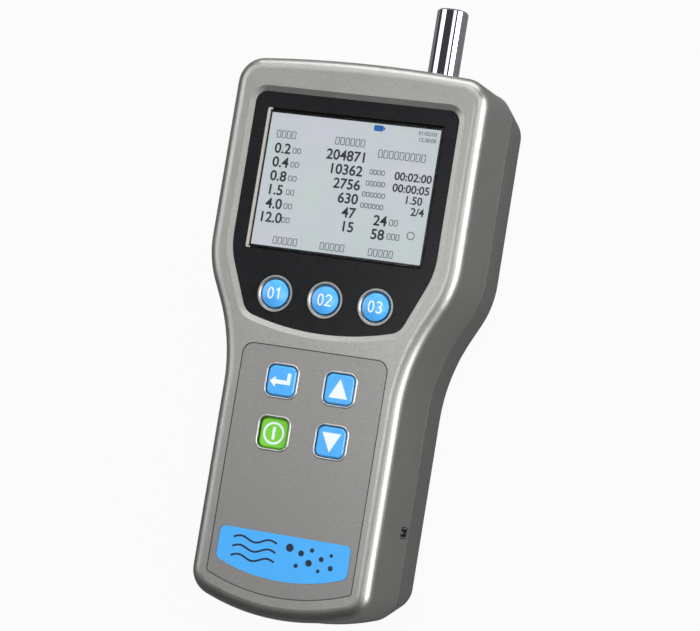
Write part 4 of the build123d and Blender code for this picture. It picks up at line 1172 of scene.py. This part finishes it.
@dataclass
class KeypadFace(SubAssembly):
    """The sunk keypad film and the blue label with its generic air-flow sign."""

    finishes = {"keypad_overlay": Finish.KEYPAD_FILM, "name_label": Finish.LABEL_BLUE}
    ink: float = 0.04 * MM
    shade_line_width: float = 0.4 * MM
    level_slack: float = 0.001 * MM
    print_lift: float = 1.5 * MM
    wave_stroke: float = 0.75 * MM
    wave_height: float = 0.9 * MM
    wave_start: float = -21.0 * MM
    wave_length: float = 18.0 * MM
    wave_turns: float = 1.5
    wave_levels: tuple[float, ...] = (3.6 * MM, 0.0, -3.6 * MM)
    dots: tuple[Place, ...] = (
        (2.5, 3.0, 1.55), (7.4, 1.6, 1.15), (11.6, 3.4, 0.85), (6.0, -3.4, 0.85), (11.0, -1.6, 1.3),
        (15.8, 0.6, 1.0), (15.2, -4.0, 0.7), (19.6, 2.6, 0.7), (20.0, -2.2, 1.0),
    )

    def outline(self) -> np.ndarray:
        """Walk the film's outer edge at its top, the longest loop of edges between the top and the sides.

        Returns:
            Points of shape (n, 3).
        """
        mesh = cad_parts["keypad_overlay"].data
        top = max(vertex.co.z for vertex in mesh.vertices) - self.level_slack
        owners: dict[tuple[int, int], int] = {}
        for face in mesh.polygons:
            if all(mesh.vertices[i].co.z > top for i in face.vertices):
                for edge in face.edge_keys:
                    owners[edge] = owners.get(edge, 0) + 1
        follow: dict[int, list[int]] = {}
        for (start, end), count in owners.items():
            if count == 1:
                follow.setdefault(start, []).append(end)
                follow.setdefault(end, []).append(start)
        longest, seen = [], set()
        for first in follow:
            loop, here = [], first
            while here is not None and here not in seen:
                seen.add(here)
                loop.append(here)
                here = next((other for other in follow[here] if other not in seen), None)
            points = np.array([mesh.vertices[i].co[:] for i in loop]) if loop else np.empty((0, 3))
            if len(loop) > 3 and np.ptp(points[:, 1]) > (np.ptp(longest[:, 1]) if len(longest) else 0.0):
                longest = points
        return longest

    def build_painted_shade_line(self) -> None:
        """Lay a thin dark line in the corner between the film's edge and the wall of its sunk bed: painted
        shade where the wall shades the corner.
        """
        path = self.outline()
        # The black strip is painted shade along the foot of the bed's wall.
        line = Piece("keypad_painted_shade_line", "case", Finish.BLACK_PLASTIC, "black_plastic")
        line.add(*carry(path, box_profile(self.shade_line_width, -self.ink, self.ink), True))
        line.build()

    def build(self) -> None:
        """Print three waves, y = a sin(2 pi n s) with s from 0 to 1, and dots on the label."""
        self.build_painted_shade_line()
        middle, level = top_middle("name_label")
        middle = middle + (0.0, self.print_lift)
        marks = Piece("label_print", "case", Finish.LABEL_INK, "label_blue")
        share = np.linspace(0.0, 1.0, 40)
        wave = self.wave_height * np.sin(2 * math.pi * self.wave_turns * share)
        profile = box_profile(self.wave_stroke, -self.ink, self.ink)
        for lift in self.wave_levels:
            flat = np.column_stack([self.wave_start + self.wave_length * share, wave + lift]) + middle
            marks.add(*carry(at_level(flat, level), profile, False))
        for x, y, radius in self.dots:
            outline = circle(radius * MM, 32) + middle + np.array((x, y)) * MM
            marks.add(*prism(outline, level - self.ink, level + self.ink))
        marks.build()


class AirPath(SubAssembly):
    """The chromed inlet tube and everything the sampled air passes through."""

    finishes = {
        "inlet_probe": Finish.PROBE_CHROME, "probe_washer": Finish.RUBBER, "probe_nut": Finish.BRASS,
        "inlet_hose": Finish.SILICONE, "chamber_hose": Finish.SILICONE, "exhaust_hose": Finish.SILICONE,
        "optics_chamber": Finish.ANODISED, "optics_lid": Finish.ANODISED, "optics_screws": Finish.ZINC,
        "laser_module": Finish.BRASS, "beam_trap": Finish.ANODISED, "photo_detector": Finish.ZINC,
        "detector_board": Finish.BOARD_GREEN, "pump_head": Finish.GREY_PLASTIC,
        "pump_head_cover": Finish.BLACK_PLASTIC, "pump_motor": Finish.ZINC, "pump_cradle": Finish.RUBBER,
        "exhaust_filter": Finish.WHITE_PLASTIC,
    }


class Electronics(SubAssembly):
    """The boards, what they carry, and the battery."""

    finishes = {
        "main_board": Finish.BOARD_GREEN, "key_switches": Finish.BLACK_PLASTIC, "board_screws": Finish.ZINC,
        "board_chips": Finish.BLACK_PLASTIC, "buzzer": Finish.BLACK_PLASTIC,
        "humidity_sensor": Finish.WHITE_PLASTIC, "io_board": Finish.BOARD_GREEN,
        "io_board_screws": Finish.ZINC, "power_coil": Finish.BLACK_PLASTIC,
        "battery_pack": Finish.BATTERY_WRAP, "battery_contacts": Finish.BRIGHT_STEEL,
    }


# ---------------------------------------------------------------------------------------------
# Studio
# ---------------------------------------------------------------------------------------------

@dataclass(frozen=True)
class SoftBox:
    """A flat lamp that faces a point and looks as bright as its radiance."""

    name: str
    place: Place
    width: float
    height: float
    radiance: float
    aim: Place = (0.0, 0.0, 0.04)

    def build(self) -> None:
        """Make the lamp: its power is pi times width, height and radiance."""
        lamp = bpy.data.lights.new(self.name, "AREA")
        lamp.shape = "RECTANGLE"
        lamp.size, lamp.size_y = self.width, self.height
        lamp.energy = math.pi * self.width * self.height * self.radiance
        made = bpy.data.objects.new(self.name, lamp)
        towards = Vector(self.aim) - Vector(self.place)
        turn = towards.to_track_quat("-Z", "Y").to_matrix().to_4x4()
        made.matrix_world = Matrix.Translation(Vector(self.place)) @ turn
        bpy.context.scene.collection.objects.link(made)
        LOG.info("%s at %s", self.name, self.place)


@dataclass
class Studio:
    """The pale floor, the lamps, the surrounding grey and the camera."""

    floor_reach: float = 6.0
    floor_tone: Colour = (0.35, 0.35, 0.35)
    floor_variety: float = 0.02
    floor_scale: float = 3.0
    floor_glow: float = 0.95
    floor_in_gloss: float = 0.6
    gloss_glow: float = 0.1
    surround: Colour = (0.06, 0.06, 0.062)
    camera_place: Place = (0.331448, -0.068664, 0.957954)
    camera_back: Place = (0.334315, -0.068359, 0.939979)
    camera_roll: float = 9.3037
    lens: float = 128.288
    sensor_width: float = 36.0
    clip_start: float = 0.05
    clip_end: float = 50.0
    boxes: tuple[SoftBox, ...] = (
        SoftBox("over_box", (-0.04, 0.03, 0.85), 0.28, 0.28, 4.5),
        SoftBox("over_foot_box", (-0.04, -0.25, 0.85), 0.28, 0.28, 0.5),
        SoftBox("over_head_box", (0.08, 0.78, 0.90), 0.5, 0.40, 1.2),
        SoftBox("strip_box", (0.50, 0.46, 0.80), 0.4, 0.20, 3.0),
        SoftBox("upper_box", (0.74, 0.12, 1.10), 1.0, 0.45, 1.7),
        SoftBox("right_low_box", (0.95, 0.10, 0.20), 1.0, 0.28, 7.0),
        SoftBox("right_box", (0.95, 0.10, 0.48), 1.0, 0.26, 6.0),
        SoftBox("left_box", (-0.72, 0.20, 0.50), 1.0, 0.30, 1.9),
        SoftBox("left_high_box", (-0.70, 0.14, 0.80), 0.5, 0.34, 2.1),
        SoftBox("end_box", (-0.05, 0.95, 0.24), 1.0, 0.40, 4.2),
        SoftBox("head_box", (-0.20, 0.85, 0.95), 1.0, 0.60, 1.7),
    )

    def build_floor(self) -> None:
        """Lay the floor: seen straight on it is white, and it keeps the object's shadow."""
        reach = self.floor_reach
        mesh = bpy.data.meshes.new("floor")
        corners = [(-reach, -reach, 0), (reach, -reach, 0), (reach, reach, 0), (-reach, reach, 0)]
        mesh.from_pydata(corners, [], [(0, 1, 2, 3)])
        floor = bpy.data.objects.new("floor", mesh)
        bpy.context.scene.collection.objects.link(floor)
        graph = Graph("pale_floor")
        tone = graph.ramp(graph.noise(graph.place(), self.floor_scale), [
            (CLOUD_LOW, tint(self.floor_tone, 1 - self.floor_variety)),
            (CLOUD_HIGH, tint(self.floor_tone, 1 + self.floor_variety)),
        ])
        diffuse = graph.node("BsdfDiffuse")
        graph.join(tone, diffuse.inputs["Color"])
        ray = graph.node("LightPath").outputs
        straight = graph.reckon("MAXIMUM", ray["Is Camera Ray"], ray["Is Transmission Ray"])
        mirrored = graph.reckon("MULTIPLY", ray["Is Glossy Ray"], self.floor_in_gloss)
        share = graph.reckon("MULTIPLY_ADD", straight, self.floor_glow, mirrored)
        strength = graph.reckon("MULTIPLY_ADD", ray["Is Glossy Ray"], self.gloss_glow, straight)
        glow = graph.node("Emission", Color=(1.0, 1.0, 1.0, 1.0))
        graph.join(strength, glow.inputs["Strength"])
        mix = graph.node("MixShader")
        for value, socket in zip((share, diffuse.outputs[0], glow.outputs[0]), mix.inputs):
            graph.join(value, socket)
        mesh.materials.append(graph.close(mix.outputs[0]))

    def build_world(self) -> None:
        """Surround the scene with a grey that is white only where the camera looks straight at it."""
        world = bpy.data.worlds.new("studio")
        world.use_nodes = True
        nodes, links = world.node_tree.nodes, world.node_tree.links
        background = nodes["Background"]
        seen = nodes.new("ShaderNodeBackground")
        seen.inputs["Color"].default_value = (1.0, 1.0, 1.0, 1.0)
        background.inputs["Color"].default_value = (*self.surround, 1.0)
        mix = nodes.new("ShaderNodeMixShader")
        path = nodes.new("ShaderNodeLightPath")
        links.new(path.outputs["Is Camera Ray"], mix.inputs["Fac"])
        links.new(background.outputs[0], mix.inputs[1])
        links.new(seen.outputs[0], mix.inputs[2])
        links.new(mix.outputs[0], nodes["World Output"].inputs["Surface"])
        bpy.context.scene.world = world

    def build_camera(self) -> None:
        """Stand the camera at its place, looking against its back axis and rolled about it."""
        back = Vector(self.camera_back).normalized()
        level = Vector((0.0, 1.0, 0.0)).cross(back).normalized()
        upright = back.cross(level)
        roll = math.radians(self.camera_roll)
        right = level * math.cos(roll) + upright * math.sin(roll)
        up = back.cross(right)
        camera = bpy.data.objects.new("camera", bpy.data.cameras.new("camera"))
        camera.data.lens = self.lens
        camera.data.sensor_width = self.sensor_width
        camera.data.clip_start, camera.data.clip_end = self.clip_start, self.clip_end
        turn = Matrix((right, up, back)).transposed().to_4x4()
        camera.matrix_world = Matrix.Translation(Vector(self.camera_place)) @ turn
        bpy.context.scene.collection.objects.link(camera)
        bpy.context.scene.camera = camera

    def build(self) -> None:
        """Make the floor, world, lamps and camera."""
        bpy.context.scene.view_settings.view_transform = "Standard"
        self.build_floor()
        self.build_world()
        for box in self.boxes:
            box.build()
        self.build_camera()


def main() -> None:
    """Build the sub-assemblies in order, then the studio around them."""
    logging.basicConfig(level=logging.INFO, format="%(name)s: %(message)s")
    for kind in (CaseShells, AirPath, Electronics, ScreenUnit, FunctionKeys, SquareKeys, KeypadFace):
        part = kind()
        part.dress()
        part.build()
        LOG.info("%s is done", kind.__name__)
    Studio().build()


if __name__ == "__main__":
    main()
